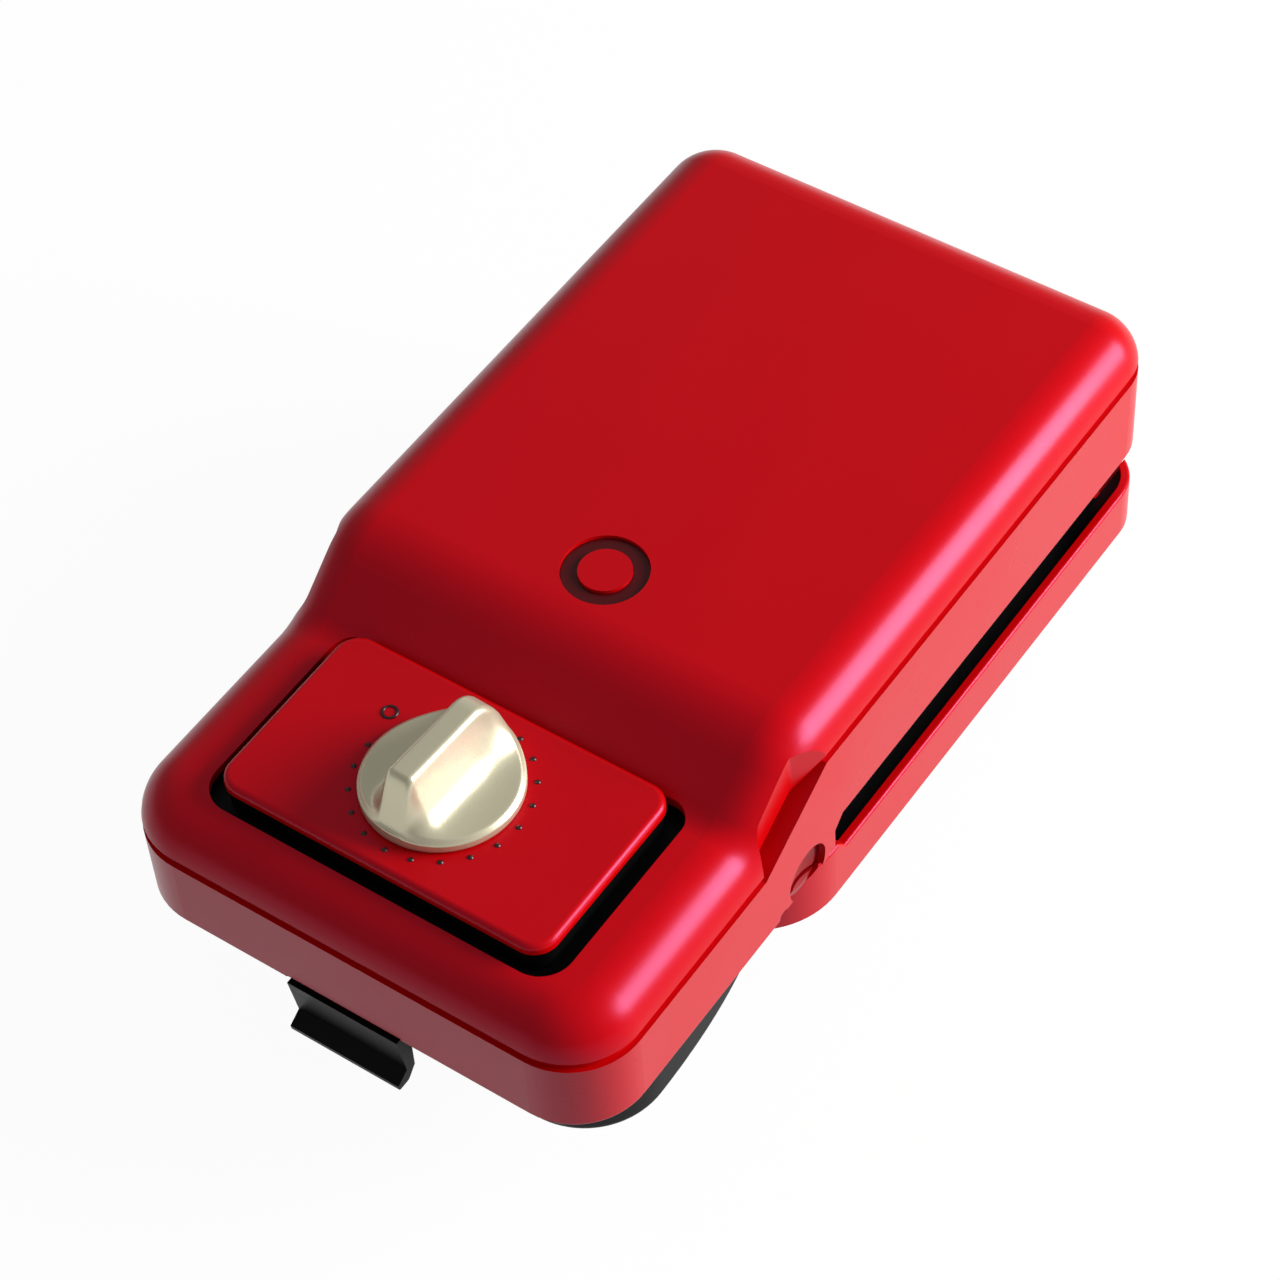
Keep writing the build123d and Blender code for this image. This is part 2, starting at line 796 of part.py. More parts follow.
drum_floor_z = case_floor_z + drum_lift
drum_top_z = drum_floor_z + drum_height
mainspring_barrel = rod(0, panel_centre_y, drum_floor_z, drum_top_z, barrel_drum_radius)
mainspring_barrel -= rod(0, panel_centre_y, drum_floor_z + 1, drum_top_z - 1, barrel_drum_radius - 1)
mainspring_barrel -= rod(0, panel_centre_y, drum_floor_z - 1, drum_top_z + 1, shaft_radius + drum_running_gap)
drum_post_y = panel_centre_y + barrel_drum_radius + 1.5
mainspring_barrel += box(-2, 2, drum_post_y - 2.5, drum_post_y + 6.5, drum_floor_z, drum_floor_z + 1)

cam_floor_z = drum_top_z + cam_lift
cam_top_z = cam_floor_z + cam_height
cam_rear_y = panel_centre_y + cam_radius
timer_cam = rod(0, panel_centre_y, cam_floor_z, cam_top_z, cam_radius)
notch_front_y = cam_rear_y - cam_notch_half
timer_cam -= box(
    -cam_notch_half, cam_notch_half, notch_front_y, cam_rear_y + 1, cam_floor_z - 1, cam_top_z + 1
)
timer_cam -= rod(0, panel_centre_y, cam_floor_z - 1, cam_top_z + 1, shaft_radius)

contact_y = panel_centre_y + cam_radius + 0.5
contact_end_x = timer_case_side / 2 - timer_case_wall
contact_start_x = -cam_radius - 2
spring_thickness = 0.5
spring_gap = 1.5
second_y = contact_y + spring_thickness + spring_gap
timer_contacts = box(
    contact_start_x, contact_end_x, contact_y, contact_y + spring_thickness, cam_floor_z, cam_top_z
)
timer_contacts += box(
    contact_start_x, contact_end_x, second_y, second_y + spring_thickness, cam_floor_z, cam_top_z
)
timer_contacts += box(
    cam_radius - 2, contact_end_x, contact_y + spring_thickness, second_y, cam_floor_z, cam_top_z
)

timer_screws = Part()
for side in (-1, 1):
    timer_screw_length = tray_floor + timer_screw_grip
    timer_screws += screw(side * timer_screw_x, panel_centre_y, panel_floor_z, timer_screw_length, up=-1)

bell_floor_z = parting_z + parting_gap / 2 + wall
bell_rim_z = bell_floor_z + bell_lift
bell_top_z = bell_rim_z + bell_height
timer_bell = rod(0, bell_y, bell_rim_z, bell_top_z, bell_radius)
timer_bell = fillet(timer_bell.edges().group_by(Axis.Z)[-1], bell_round)
bell_core = rod(0, bell_y, bell_rim_z - bell_wall, bell_top_z - bell_wall, bell_radius - bell_wall)
timer_bell -= fillet(bell_core.edges().group_by(Axis.Z)[-1], bell_round - bell_wall)
timer_bell += rod(0, bell_y, bell_floor_z, bell_top_z, 2 * bell_wall)

# Knob: flat disc with a tall ridge across it, its flanks running out onto the disc
knob_profile = [
    (0, 0),
    (knob_radius, 0),
    (knob_radius, knob_rim),
    (knob_radius - knob_edge, knob_skirt - knob_edge),
    (knob_radius - knob_bevel, knob_skirt),
    (0, knob_skirt),
]
knob_body = revolve(make_face(Polyline(*[(x, 0, z) for x, z in knob_profile], close=True)), Axis.Z)
ridge_shoulder_z = knob_height - ridge_edge
ridge_flat = ridge_half_width - ridge_edge
ridge_top = Line((ridge_flat, 0, knob_height), (-ridge_flat, 0, knob_height))
flank = Spline(
    (ridge_flat, 0, knob_height),
    (ridge_half_width, 0, ridge_shoulder_z),
    (ridge_half_width + ridge_swell, 0, knob_height / 2),
    (ridge_foot, 0, knob_skirt - ridge_sink),
    tangents=((1, 0, -0.3), (1, 0, -0.1)),
)
ridge_sole = Line((ridge_foot, 0, knob_skirt - ridge_sink), (-ridge_foot, 0, knob_skirt - ridge_sink))
ridge_section = make_face([ridge_top, flank, ridge_sole, mirror(flank, Plane.YZ)])
ridge = extrude(ridge_section, knob_radius + 1, both=True)
ridge &= side_region([
    (-knob_radius + knob_edge, knob_rim),
    (ridge_near_y - ridge_nose, ridge_shoulder_z),
    (ridge_near_y, knob_height),
    (ridge_far_y, knob_height),
    (ridge_far_y + ridge_edge, ridge_shoulder_z),
    (knob_radius - close_fit, knob_rim),
])
knob_body += ridge & rod(0, 0, 0, knob_height + 1, knob_radius - ridge_sink)
knob_body -= rod(0, 0, -1, knob_bore, shaft_radius)
knob_key = box(-5, 5, -shaft_radius - 1, flat_y, 0, knob_bore)
knob_body += knob_key & rod(0, 0, 0, knob_bore, shaft_radius + 0.5)
timer_knob = Pos(0, panel_centre_y, knob_floor_z) * Rot(0, 0, knob_turn) * knob_body

# Indicator ring, its centre cap, and the lamp in its sleeve
lens_top_z = case_height - indicator_recess
lens_flange_z = case_height - wall - close_fit
lens_flange_radius = indicator_outer_radius + lens_flange_lap
indicator_lens = rod(0, indicator_y, lens_flange_z - lens_flange_thickness, lens_flange_z, lens_flange_radius)
indicator_lens += rod(0, indicator_y, lens_flange_z - 1, lens_top_z, indicator_outer_radius)
cap_stem_radius = indicator_inner_radius - 2
indicator_lens -= rod(0, indicator_y, lens_flange_z - 2, lens_top_z + 1, cap_stem_radius)
cap_hole_radius = indicator_inner_radius + close_fit / 2
indicator_lens -= rod(0, indicator_y, lens_flange_z + lens_step, lens_top_z + 1, cap_hole_radius)
indicator_cap = rod(0, indicator_y, lens_flange_z + lens_step, case_height, indicator_inner_radius)
lens_bottom_z = lens_flange_z - lens_flange_thickness
indicator_cap += rod(0, indicator_y, lens_bottom_z, lens_flange_z + 0.5, cap_stem_radius)
shield_floor_z = pan_back_z - 2 * heater_radius - shield_air
shield_top_z = 2 * hinge_z - shield_floor_z + shield_thickness
lamp_room = lens_bottom_z - shield_top_z
sleeve_depth = lamp_room / 2
lamp_foot = lamp_room / 4
sleeve_floor_z = lens_bottom_z - sleeve_depth
lamp_holder = rod(0, indicator_y, sleeve_floor_z, lens_bottom_z, lens_flange_radius)
lamp_holder -= rod(
    0, indicator_y, sleeve_floor_z + sleeve_floor, lens_bottom_z + 1, lens_flange_radius - sleeve_wall
)
lamp_holder -= rod(0, indicator_y, sleeve_floor_z - 1, lens_bottom_z, lamp_radius + close_fit)
indicator_lamp = rod(0, indicator_y, sleeve_floor_z - lamp_foot, lens_bottom_z - lamp_foot, lamp_radius)
indicator_lamp = fillet(indicator_lamp.edges().group_by(Axis.Z)[-1], lamp_radius - 0.1)
indicator_lamp += rod(
    0, indicator_y, sleeve_floor_z - lamp_collar, sleeve_floor_z, lamp_radius + lamp_collar
)

# Lower plate, heater and shield; the upper ones are the same forms turned over
plate = prism(square_plan(plate_side), flange_bottom_z, plate_face_z)
plate += prism(square_plan(pan_side), pan_back_z, flange_bottom_z)
pocket_plan = square_plan(pocket_side - 2 * pocket_depth * math.tan(math.radians(pocket_draft)))
pocket = loft([
    Pos(0, 0, plate_face_z - pocket_depth) * pocket_plan,
    Pos(0, 0, plate_face_z) * square_plan(pocket_side),
])
plate -= pocket
heater_start_y = plate_front_y - heater_tail
path = u_path(heater_half_span, heater_start_y, heater_bend_y, heater_z)
section = Plane(origin=(-heater_half_span, heater_start_y, heater_z), z_dir=(0, 1, 0)) * Circle(heater_radius)
heater = sweep(section, path=path)
for side in (-1, 1):
    pin_x = side * heater_half_span
    heater += rod_y(pin_x, heater_start_y - heater_pin, heater_start_y + 1, heater_z, heater_pin_radius)

shield_rim_z = deck_z
shield = prism(square_plan(shield_side), shield_floor_z - shield_thickness, shield_rim_z)
shield -= prism(square_plan(shield_side - 2 * shield_thickness), shield_floor_z, shield_rim_z + 1)
flange = prism(square_plan(shield_side + 2 * shield_flange), shield_rim_z, shield_rim_z + shield_thickness)
flange -= prism(square_plan(shield_side - 2 * shield_thickness), 0, far_top)
shield += flange
for side in (-1, 1):
    shield -= rod_y(side * heater_half_span, heater_start_y - 1, plate_front_y + 4, heater_z, tail_radius)

lower_cooking_plate = plate
upper_cooking_plate = flip(plate)
lower_heater = heater
upper_heater = flip(heater)
lower_heat_shield = shield
upper_heat_shield = flip(shield)

thermostat = rod(0, plate_centre_y, shield_top_z, shield_top_z + thermostat_height, thermostat_radius)
strap_half = thermostat_radius + strap_reach
strap_z = shield_top_z + strap_thickness
thermostat += Pos(0, plate_centre_y, strap_z + strap_thickness / 2) * Box(
    2 * strap_half, strap_width, strap_thickness
)
for side in (-1, 1):
    foot_centre = side * (strap_half - strap_width / 2)
    thermostat += Pos(foot_centre, plate_centre_y, shield_top_z + strap_thickness / 2) * Box(
        strap_width / 2, strap_width / 2, strap_thickness
    )
fuse_y = plate_centre_y - fuse_distance
fuse_z = shield_top_z + fuse_radius + fuse_lead_radius
thermal_fuse = rod_x(-fuse_half, fuse_half, fuse_y, fuse_z, fuse_radius)
thermal_fuse += rod_x(-fuse_half - fuse_lead, fuse_half + fuse_lead, fuse_y, fuse_z, fuse_lead_radius)
thermal_fuse += Pos(0, fuse_y, shield_top_z + fuse_clip / 2) * Box(3 * fuse_clip, 5 * fuse_clip, fuse_clip)

# Base frame: side band with a deck, hinge ears and four screw bosses
base_plan = outline(0, base_front_y, rear_y, base_front_radius, rear_corner_radius, half_width)
base_core = outline(wall, base_front_y, rear_y, base_front_radius, rear_corner_radius, half_width)
under_base_top = below(base_top)
base_frame = prism(base_plan, band_bottom_z, case_height) & under_base_top
base_frame = fillet(rim_edges(base_frame, slot_bottom_z - pick_margin, parting_z + pick_margin), edge_round)
base_frame -= prism(base_core, 0, case_height)
base_deck = prism(base_core, 0, case_height) & (below(deck_top) - below(shifted(deck_top, -wall)))
base_deck -= prism(square_plan(shelf_opening_side), 0, case_height)
bay_front_y = rear_y - bay_depth
bay = box(-bay_half_width, bay_half_width, bay_front_y, rear_y + 1, bay_floor_z, far_top)
bay_deck = prism(base_core, bay_floor_z - wall, bay_floor_z)
bay_deck = bay_deck & box(-bay_half_width, bay_half_width, bay_front_y - wall, rear_y, 0, far_top)
bay_front = box(-bay_half_width, bay_half_width, bay_front_y - wall, bay_front_y, bay_floor_z - wall, deck_z)
base_frame = base_frame - bay + bay_deck + bay_front
lower_inner_frame = base_deck - box(-bay_half_width, bay_half_width, bay_front_y - wall, rear_y, 0, far_top)
ear = rod_x(ear_inner_x, ear_outer_x, hinge_y, hinge_z, ear_radius)
ear_rear_y = hinge_y + ear_radius - ear_web_inset
ear += box(ear_inner_x, ear_outer_x, hinge_y - ear_radius, ear_rear_y, bay_floor_z - 1, hinge_z)
base_frame += both_sides(ear)
base_frame -= both_sides(rod_x(ear_inner_x - 1, ear_outer_x - 2, hinge_y, hinge_z, hinge_pin_radius))
deck_front_z = parting_z - parting_gap / 2 - wall / 2
boss_places = [(boss_x, boss_front_y, deck_front_z), (boss_x, boss_rear_y, bay_floor_z - wall / 2)]
front_boss = both_sides(rod(boss_x, boss_front_y, boss_split_z, deck_front_z, boss_radius))
rear_boss = both_sides(rod(boss_x, boss_rear_y, boss_split_z, bay_floor_z - wall / 2, boss_radius))
lower_inner_frame += front_boss
base_frame += rear_boss
for x, y, z in boss_places:
    pilot_hole = both_sides(rod(x, y, boss_split_z - 1, z - pilot_roof, screw_radius))
    base_frame -= pilot_hole
    lower_inner_frame -= pilot_hole
seat_side = shield_side + 2 * shield_flange + shield_clearance
shield_seat = prism(square_plan(seat_side), deck_z, slot_bottom_z + 1)
lower_inner_frame -= shield_seat
lower_recess = rod_x(half_width - recess_cut_depth, half_width + 1, recess_y, recess_z, recess_radius)
base_frame -= lower_recess
lower_inner_frame -= lower_recess

hinge_pins = both_sides(rod_x(barrel_x0 - 0.5, ear_outer_x - 2, hinge_y, hinge_z, hinge_pin_radius))

# Base pan: dark tapered bottom shell with its bosses
def pan_loft(inset):
    top = outline(
        pan_top_inset + inset, base_front_y, rear_y, base_front_radius, rear_corner_radius, half_width
    )
    low = outline(
        inset,
        pan_bottom_front_y,
        pan_bottom_rear_y,
        pan_bottom_front_radius,
        pan_bottom_rear_radius,
        pan_bottom_half_width,
    )
    low_z = pan_bottom_z + inset
    return loft([Pos(0, 0, low_z) * low, Pos(0, 0, band_bottom_z) * top], ruled=True)


base_pan = pan_loft(0) - pan_loft(wall)
for x, y, z in boss_places:
    base_pan += both_sides(rod(x, y, pan_bottom_z, boss_split_z, well_radius)) & pan_loft(0)
    base_pan -= both_sides(rod(x, y, pan_bottom_z - 1, boss_split_z + 1, screw_radius + screw_clearance))
    base_pan -= both_sides(rod(x, y, pan_bottom_z - 1, base_screw_seat_z, screw_head_radius + head_clearance))
foot_places = [(sx * foot_x, fy) for sx in (-1, 1) for fy in (foot_front_y, foot_rear_y)]
for x, y in foot_places:
    base_pan -= rod(x, y, pan_bottom_z - 1, pan_bottom_z + wall + 1, foot_stem_radius + close_fit)
base_pan -= rod_y(bush_x, rear_y - 2 * far_step, rear_y + overrun, bush_z, bush_radius + close_fit)

rubber_feet = Part()
stem_top_z = pan_bottom_z + wall + foot_stem_height - 1
for x, y in foot_places:
    foot = fillet(rod(x, y, 0, pan_bottom_z, foot_radius).edges().group_by(Axis.Z)[0], 1.0)
    rubber_feet += foot + rod(x, y, pan_bottom_z - 1, stem_top_z, foot_stem_radius)

base_screws = Part()
for x, y, z in boss_places:
    for side in (-1, 1):
        base_screws += screw(side * x, y, base_screw_seat_z, base_screw_length)

# Lower handle: black tray under the lid handle
handle_rear_y = base_front_y
lower_handle_top_z = handle_floor_z - lower_handle_top_gap


def handle_plan(inset):
    hw = lower_handle_half_width - inset
    rh = lower_handle_rear_half - inset
    r = lower_handle_radius - inset
    fy = lower_handle_front_y + inset
    corner = (hw - r, fy)
    mid = (hw - r + r * math.sin(math.radians(45)), fy + r - r * math.cos(math.radians(45)))
    side = (hw, fy + r)
    front = Line((-corner[0], fy), corner)
    right = ThreePointArc(corner, mid, side)
    flank = Spline((hw, fy + r), (rh, handle_rear_y - inset), tangents=((0, 1), (-0.25, 1)))
    back = Line((rh, handle_rear_y - inset), (-rh, handle_rear_y - inset))
    flank_left = mirror(flank, Plane.YZ)
    left = mirror(right, Plane.YZ)
    return make_face([front, right, flank, back, flank_left, left])


lower_handle = prism(handle_plan(0), lower_handle_bottom_z, lower_handle_top_z)
lower_rim = [e for e in lower_handle.edges().group_by(Axis.Z)[0] if e.center().Y < handle_rear_y - 1]
lower_handle = fillet(lower_rim, handle_round)
lower_handle -= prism(handle_plan(wall), lower_handle_bottom_z + wall, lower_handle_top_z + 1)
handle_screw_z = (band_bottom_z + parting_z) / 2
handle_screws = Part()
for side in (-1, 1):
    x = side * handle_screw_x
    hole = rod_y(x, handle_rear_y - handle_hole_depth, handle_rear_y + 2 * wall, handle_screw_z, screw_radius)
    handle_boss_front_y = handle_rear_y - handle_boss_depth
    lower_handle += rod_y(x, handle_boss_front_y, handle_rear_y - wall, handle_screw_z, boss_radius)
    lower_handle -= hole
    base_frame -= hole
    handle_screw = Rot(90, 0, 0) * screw(0, 0, 0, handle_screw_length)
    handle_screws += Pos(x, handle_rear_y + wall, handle_screw_z) * handle_screw

# Latch: stem on a pin in the lid, outer block, finger lip and catch nose
latch_half = latch_width / 2
latch_face_y = front_y - latch_setback
slant = (latch_top_z - latch_kink_z) * latch_slant
lip_y = front_y - latch_lip_reach
nose_y = lower_handle_front_y - latch_catch_gap
plate_back_y = latch_face_y + slant + latch_plate
latch_plate_outline = [
    (latch_face_y, latch_top_z),
    (latch_face_y + slant, latch_kink_z),
    (lip_y, latch_kink_z - latch_bend_drop),
    (lip_y + latch_lip_step, latch_bottom_z + 1.0),
    (lip_y + latch_lip_round, latch_bottom_z),
    (lip_y + latch_lip_depth, latch_bottom_z + latch_lip_rise),
    (plate_back_y, latch_kink_z - 1.0),
    (plate_back_y, latch_top_z - latch_head_depth),
    (plate_back_y, latch_top_z),
]
latch_stem_outline = [
    (latch_face_y + 0.5, latch_top_z - latch_head_depth),
    (latch_pivot_y + latch_stem_half, latch_top_z - latch_head_depth),
    (latch_pivot_y + latch_stem_half, latch_pivot_z),
    (latch_pivot_y - latch_stem_half, latch_pivot_z),
    (latch_pivot_y - latch_stem_half, latch_top_z),
    (latch_face_y + 0.5, latch_top_z),
]
nose_outline = [
    (plate_back_y - 1.0, latch_kink_z + nose_foot_rise),
    (nose_y - nose_foot_rise, latch_kink_z + nose_foot_rise),
    (nose_y, latch_kink_z + nose_low),
    (nose_y, latch_kink_z + nose_high),
    (nose_y - nose_taper, latch_kink_z + nose_top),
    (plate_back_y - 1.0, latch_kink_z + nose_top),
]
latch_front_view = Pos(0, 0, (latch_bottom_z + latch_pivot_z + 4) / 2 - 1) * Rot(90, 0, 0) * extrude(
    RectangleRounded(latch_width, latch_pivot_z + 4 - latch_bottom_z + 2, latch_corner), 2 * far_top, both=True
)
latch = side_region(latch_plate_outline, latch_half) & Pos(0, 0, 1) * latch_front_view
latch += side_region(latch_stem_outline, latch_half) + side_region(nose_outline, nose_half_width)
latch += rod_x(-latch_half, latch_half, latch_pivot_y, latch_pivot_z, latch_hub_radius)
latch -= rod_x(-far_side, far_side, latch_pivot_y, latch_pivot_z, latch_pin_radius + latch_running_gap)
latch = latch_place * latch
latch_pin = latch_place * pin_rod

# Plate release buttons in the round recess; each stem ends in a hook at its plate's flange
def button_pad(keep):
    pad = rod_x(pad_back_x, button_face_x, recess_y, recess_z, recess_radius - button_gap) & keep
    pad += rod_x(pad_back_x, pad_back_x + 2, recess_y, recess_z, recess_radius + pad_rim) & keep
    return pad - Pos(button_face_x + dish_offset, recess_y, recess_z) * Sphere(dish_radius)


button_face_x = half_width - button_face_inset
pad_back_x = half_width - recess_depth - wall - pad_depth
hook_y = slot_front_y + hook_start
hook_reach_y = plate_front_y + hook_lap
hook_x1 = hook_x0 + hook_width
keep_front_y = recess_y - pad_keep_half
keep_rear_y = recess_y + pad_keep_half
button_split = parting_gap / 2 + button_gap
keep_upper = box(0, far_side, keep_front_y, keep_rear_y, parting_z + button_split, far_side)
keep_lower = box(0, far_side, keep_front_y, keep_rear_y, 0, parting_z - button_split)
upper_stem_z = shelf_z - stem_gap - hook_arm
lower_stem_z = 2 * hinge_z - upper_stem_z - hook_arm - stem_drop
upper_tip_z = hinge_z + plate_gap / 2 + tip_gap
lower_tip_z = 2 * hinge_z - upper_tip_z
tip_thickness = plate_flange / 2 - tip_trim


def hook(stem_z, stem_end_x, tip_z, tip_z0):
    """Stem from the pad across the case, arm to the plate, and the tip that holds its flange."""
    arm_end_y = hook_y + hook_thickness
    bar = box(hook_x0, stem_end_x, recess_y - 2, recess_y + 2, stem_z, stem_z + hook_arm)
    bar += box(hook_x0, hook_x1, recess_y, arm_end_y, stem_z, stem_z + hook_arm)
    low = min(tip_z, stem_z)
    high = max(tip_z, stem_z + hook_arm)
    bar += box(hook_x0, hook_x1, hook_y, arm_end_y, low, high)
    return bar + box(hook_x0, hook_x1, hook_y, hook_reach_y, tip_z0, tip_z0 + tip_thickness)


upper_release_button = button_pad(keep_upper) + hook(upper_stem_z, pad_back_x + 1, upper_tip_z, upper_tip_z)
lower_release_button = button_pad(keep_lower) + hook(
    lower_stem_z, pad_back_x + lower_stem_inset, lower_tip_z, lower_tip_z - tip_thickness
)

# Ways for the hooks through the bulkhead, the deck and the plate flanges
way_x0 = hook_x0 - button_travel - way_gap
way_x1 = hook_x1 + way_gap
way_top_z = upper_stem_z + hook_arm + 0.5
lid_frame -= box(way_x0, way_x1, slot_front_y - wall - 1, slot_front_y + 1, upper_stem_z - 0.5, way_top_z)
way_floor_z = deck_z - wall - overrun
lower_inner_frame -= box(way_x0, way_x1, slot_front_y - way_gap, plate_front_y + 1, way_floor_z, parting_z)
pad_way = box(
    pad_back_x - button_travel - 0.5, half_width - recess_depth - wall,
    keep_front_y, keep_rear_y, pad_way_bottom_z, pad_way_top_z,
)
lower_pad_way = pad_way & below([(far_front, parting_z), (far_rear, parting_z)])
base_frame -= lower_pad_way
lower_inner_frame -= lower_pad_way
lid_frame -= pad_way & box(0, far_side, far_front, far_rear, parting_z, far_side)
flange_rear_y = hook_reach_y + flange_way_gap
flange_half_z = hinge_z + plate_gap / 2 + plate_flange / 2
flange_full_z = hinge_z + plate_gap / 2 + plate_flange + tip_gap
flange_gap = box(way_x0, hook_x1 + flange_way_gap, plate_front_y - 1, flange_rear_y, hinge_z, flange_half_z)
flange_free = box(way_x0, hook_x0 - flange_free_gap, plate_front_y - 1, flange_rear_y, hinge_z, flange_full_z)
upper_cooking_plate -= flange_gap + flange_free
lower_cooking_plate -= flip(flange_gap + flange_free)

# Cord inlet, terminal block
cord_bush = rod_y(bush_x, bush_rear_y - bush_length, bush_rear_y, bush_z, bush_radius)
cord_bush -= rod_y(bush_x, bush_rear_y - bush_length - 1, bush_rear_y + 1, bush_z, bush_bore_radius)

terminal_floor_z = pan_bottom_z + wall
terminal_top_z = terminal_floor_z + terminal_height
terminal_axis_z = terminal_floor_z + terminal_height / 2
terminal_end_y = terminal_y + terminal_length
terminal_half = terminal_width / 2
terminal_block = box(
    -terminal_half, terminal_half, terminal_y, terminal_end_y, terminal_floor_z, terminal_top_z
)
for x in (-terminal_pitch, 0, terminal_pitch):
    terminal_block -= rod_y(x, terminal_y - 1, terminal_end_y + 1, terminal_axis_z, terminal_bore_radius)
    for y in (terminal_y + terminal_screw_inset, terminal_end_y - terminal_screw_inset):
        terminal_block -= rod(x, y, terminal_axis_z, terminal_top_z + 1, terminal_screw_radius)

lid_screws = Part()
for x, y, z in lid_boss_places:
    for side in (-1, 1):
        seat_z = z - wall if x == lid_boss_x else z - shelf_thickness
        lid_screws += screw(side * x, y, seat_z, lid_screw_length)

nodes = {
    "lid_cover": lid_cover,
    "lid_frame": lid_frame,
    "panel_tray": panel_tray,
    "timer_panel": timer_panel,
    "timer_case": timer_case,
    "timer_shaft": timer_shaft,
    "mainspring_barrel": mainspring_barrel,
    "timer_cam": timer_cam,
    "timer_contacts": timer_contacts,
    "timer_screws": timer_screws,
    "timer_bell": timer_bell,
    "timer_knob": timer_knob,
    "indicator_lens": indicator_lens,
    "indicator_cap": indicator_cap,
    "lamp_holder": lamp_holder,
    "indicator_lamp": indicator_lamp,
    "upper_cooking_plate": upper_cooking_plate,
    "lower_cooking_plate": lower_cooking_plate,
    "upper_heater": upper_heater,
    "lower_heater": lower_heater,
    "upper_heat_shield": upper_heat_shield,
    "lower_heat_shield": lower_heat_shield,
    "thermostat": thermostat,
    "thermal_fuse": thermal_fuse,
    "base_frame": base_frame,
    "lower_inner_frame": lower_inner_frame,
    "upper_inner_frame": upper_inner_frame,
    "hinge_pins": hinge_pins,
    "base_pan": base_pan,
    "rubber_feet": rubber_feet,
    "base_screws": base_screws,
    "lower_handle": lower_handle,
    "handle_screws": handle_screws,
    "latch": latch,
    "latch_pin": latch_pin,
    "cord_bush": cord_bush,
    "terminal_block": terminal_block,
    "lid_screws": lid_screws,
    "upper_release_button": upper_release_button,
    "lower_release_button": lower_release_button,
}

for name, part in nodes.items():
    write(name, part)
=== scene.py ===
import math

import bmesh
import bpy
from bpy.props import FloatProperty, FloatVectorProperty, IntProperty, PointerProperty
from mathutils import Matrix, Vector


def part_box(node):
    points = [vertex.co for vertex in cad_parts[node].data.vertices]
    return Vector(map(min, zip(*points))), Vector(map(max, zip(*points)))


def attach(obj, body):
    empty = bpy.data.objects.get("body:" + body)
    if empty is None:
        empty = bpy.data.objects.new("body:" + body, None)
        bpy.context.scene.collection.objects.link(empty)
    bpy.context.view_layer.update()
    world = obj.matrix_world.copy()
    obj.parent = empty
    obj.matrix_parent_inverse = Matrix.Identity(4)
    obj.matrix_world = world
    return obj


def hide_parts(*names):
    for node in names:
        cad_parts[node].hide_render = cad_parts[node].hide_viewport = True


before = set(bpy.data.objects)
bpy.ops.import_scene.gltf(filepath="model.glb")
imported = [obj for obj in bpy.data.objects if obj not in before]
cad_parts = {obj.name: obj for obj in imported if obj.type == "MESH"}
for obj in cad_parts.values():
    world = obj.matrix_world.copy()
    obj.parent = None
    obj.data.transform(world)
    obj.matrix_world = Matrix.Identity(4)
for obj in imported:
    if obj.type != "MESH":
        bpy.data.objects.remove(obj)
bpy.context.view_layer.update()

bl_info = {
    "name": "Sandwich maker looks",
    "version": (1, 0, 0),
    "blender": (4, 5, 0),
    "location": "3D View > Sidebar > Sandwich",
    "description": "Dresses the solids of a one-slice timer sandwich maker",
    "category": "Object",
}

KNOB_LO, KNOB_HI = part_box("timer_knob")
PANEL_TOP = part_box("timer_panel")[1].z

# Finish details shared by every material
PATCH_LOW = 0.3
PATCH_HIGH = 0.7
ROUGH_SPREAD = 0.04
TONE_SPREAD = 0.05
GRAIN_SCALE = 2400.0
PATCH_SCALE = 24.0
GRAIN_DEPTH = 0.0002

# Edge rounds
EDGE_ANGLE = math.radians(35)
EDGE_SEGMENTS = 3

# Knob shape, in metres, with y from the near end to the far end
KNOB_INSET = 0.00002
INNER_COLUMNS = 44
OUTER_COLUMNS = 26
INNER_REACH = 0.0075
INNER_SHARE = 0.62
NOSE_FOOT_Y = -0.0182
NOSE_TOP_Y = -0.0118
NOSE_BEND = 0.8
HUMP_START_Y = 0.0095
HUMP_LENGTH = 0.0087
RIM_DROP = 0.0010
RIM_ROUND = 0.0013
DISC_SAG = 0.0004
DISC_SAG_SHARE = 0.8
FLANK_WIDTH = 0.0027
FLANK_GAIN = 0.0012
FLANK_START_Y = 0.004
FLANK_END_Y = 0.017
FLANK_BEND = 1.1
SHOULDER_DROP = 0.04
SHOULDER_WIDTH = 0.0010
SIDE_LEVELS = (0.8, 0.5, 0.2, 0.0)
WELD_GAP = 0.000002

# Dial marks
BALL_SEGMENTS = 12
BALL_RINGS = 8
RING_STEPS = 32
RING_PROFILE_STEPS = 8
RING_THICKNESS_SHARE = 0.22
DOT_SUNK_SHARE = 0.45

# Stage: floor, lamp and camera, in metres and degrees
FLOOR_HALF = 30.0
FLOOR_LEVEL = -0.00005
LAMP_SIZE = 0.9
LAMP_DISTANCE = 1.5
LAMP_RISE = 0.05
LAMP_SIDE = Vector((0.77, 0.51, 0.39))
CAMERA_LENS = 104.47
CAMERA_SENSOR = 36.0
CAMERA_AZIMUTH = math.radians(37.755)
CAMERA_ELEVATION = math.radians(50.037)
CAMERA_ROLL = math.radians(-4.374)
CAMERA_PLACE = (0.3417, -0.4461, 0.7253)
CAMERA_NEAR = 0.05
CAMERA_FAR = 60.0


# Settings

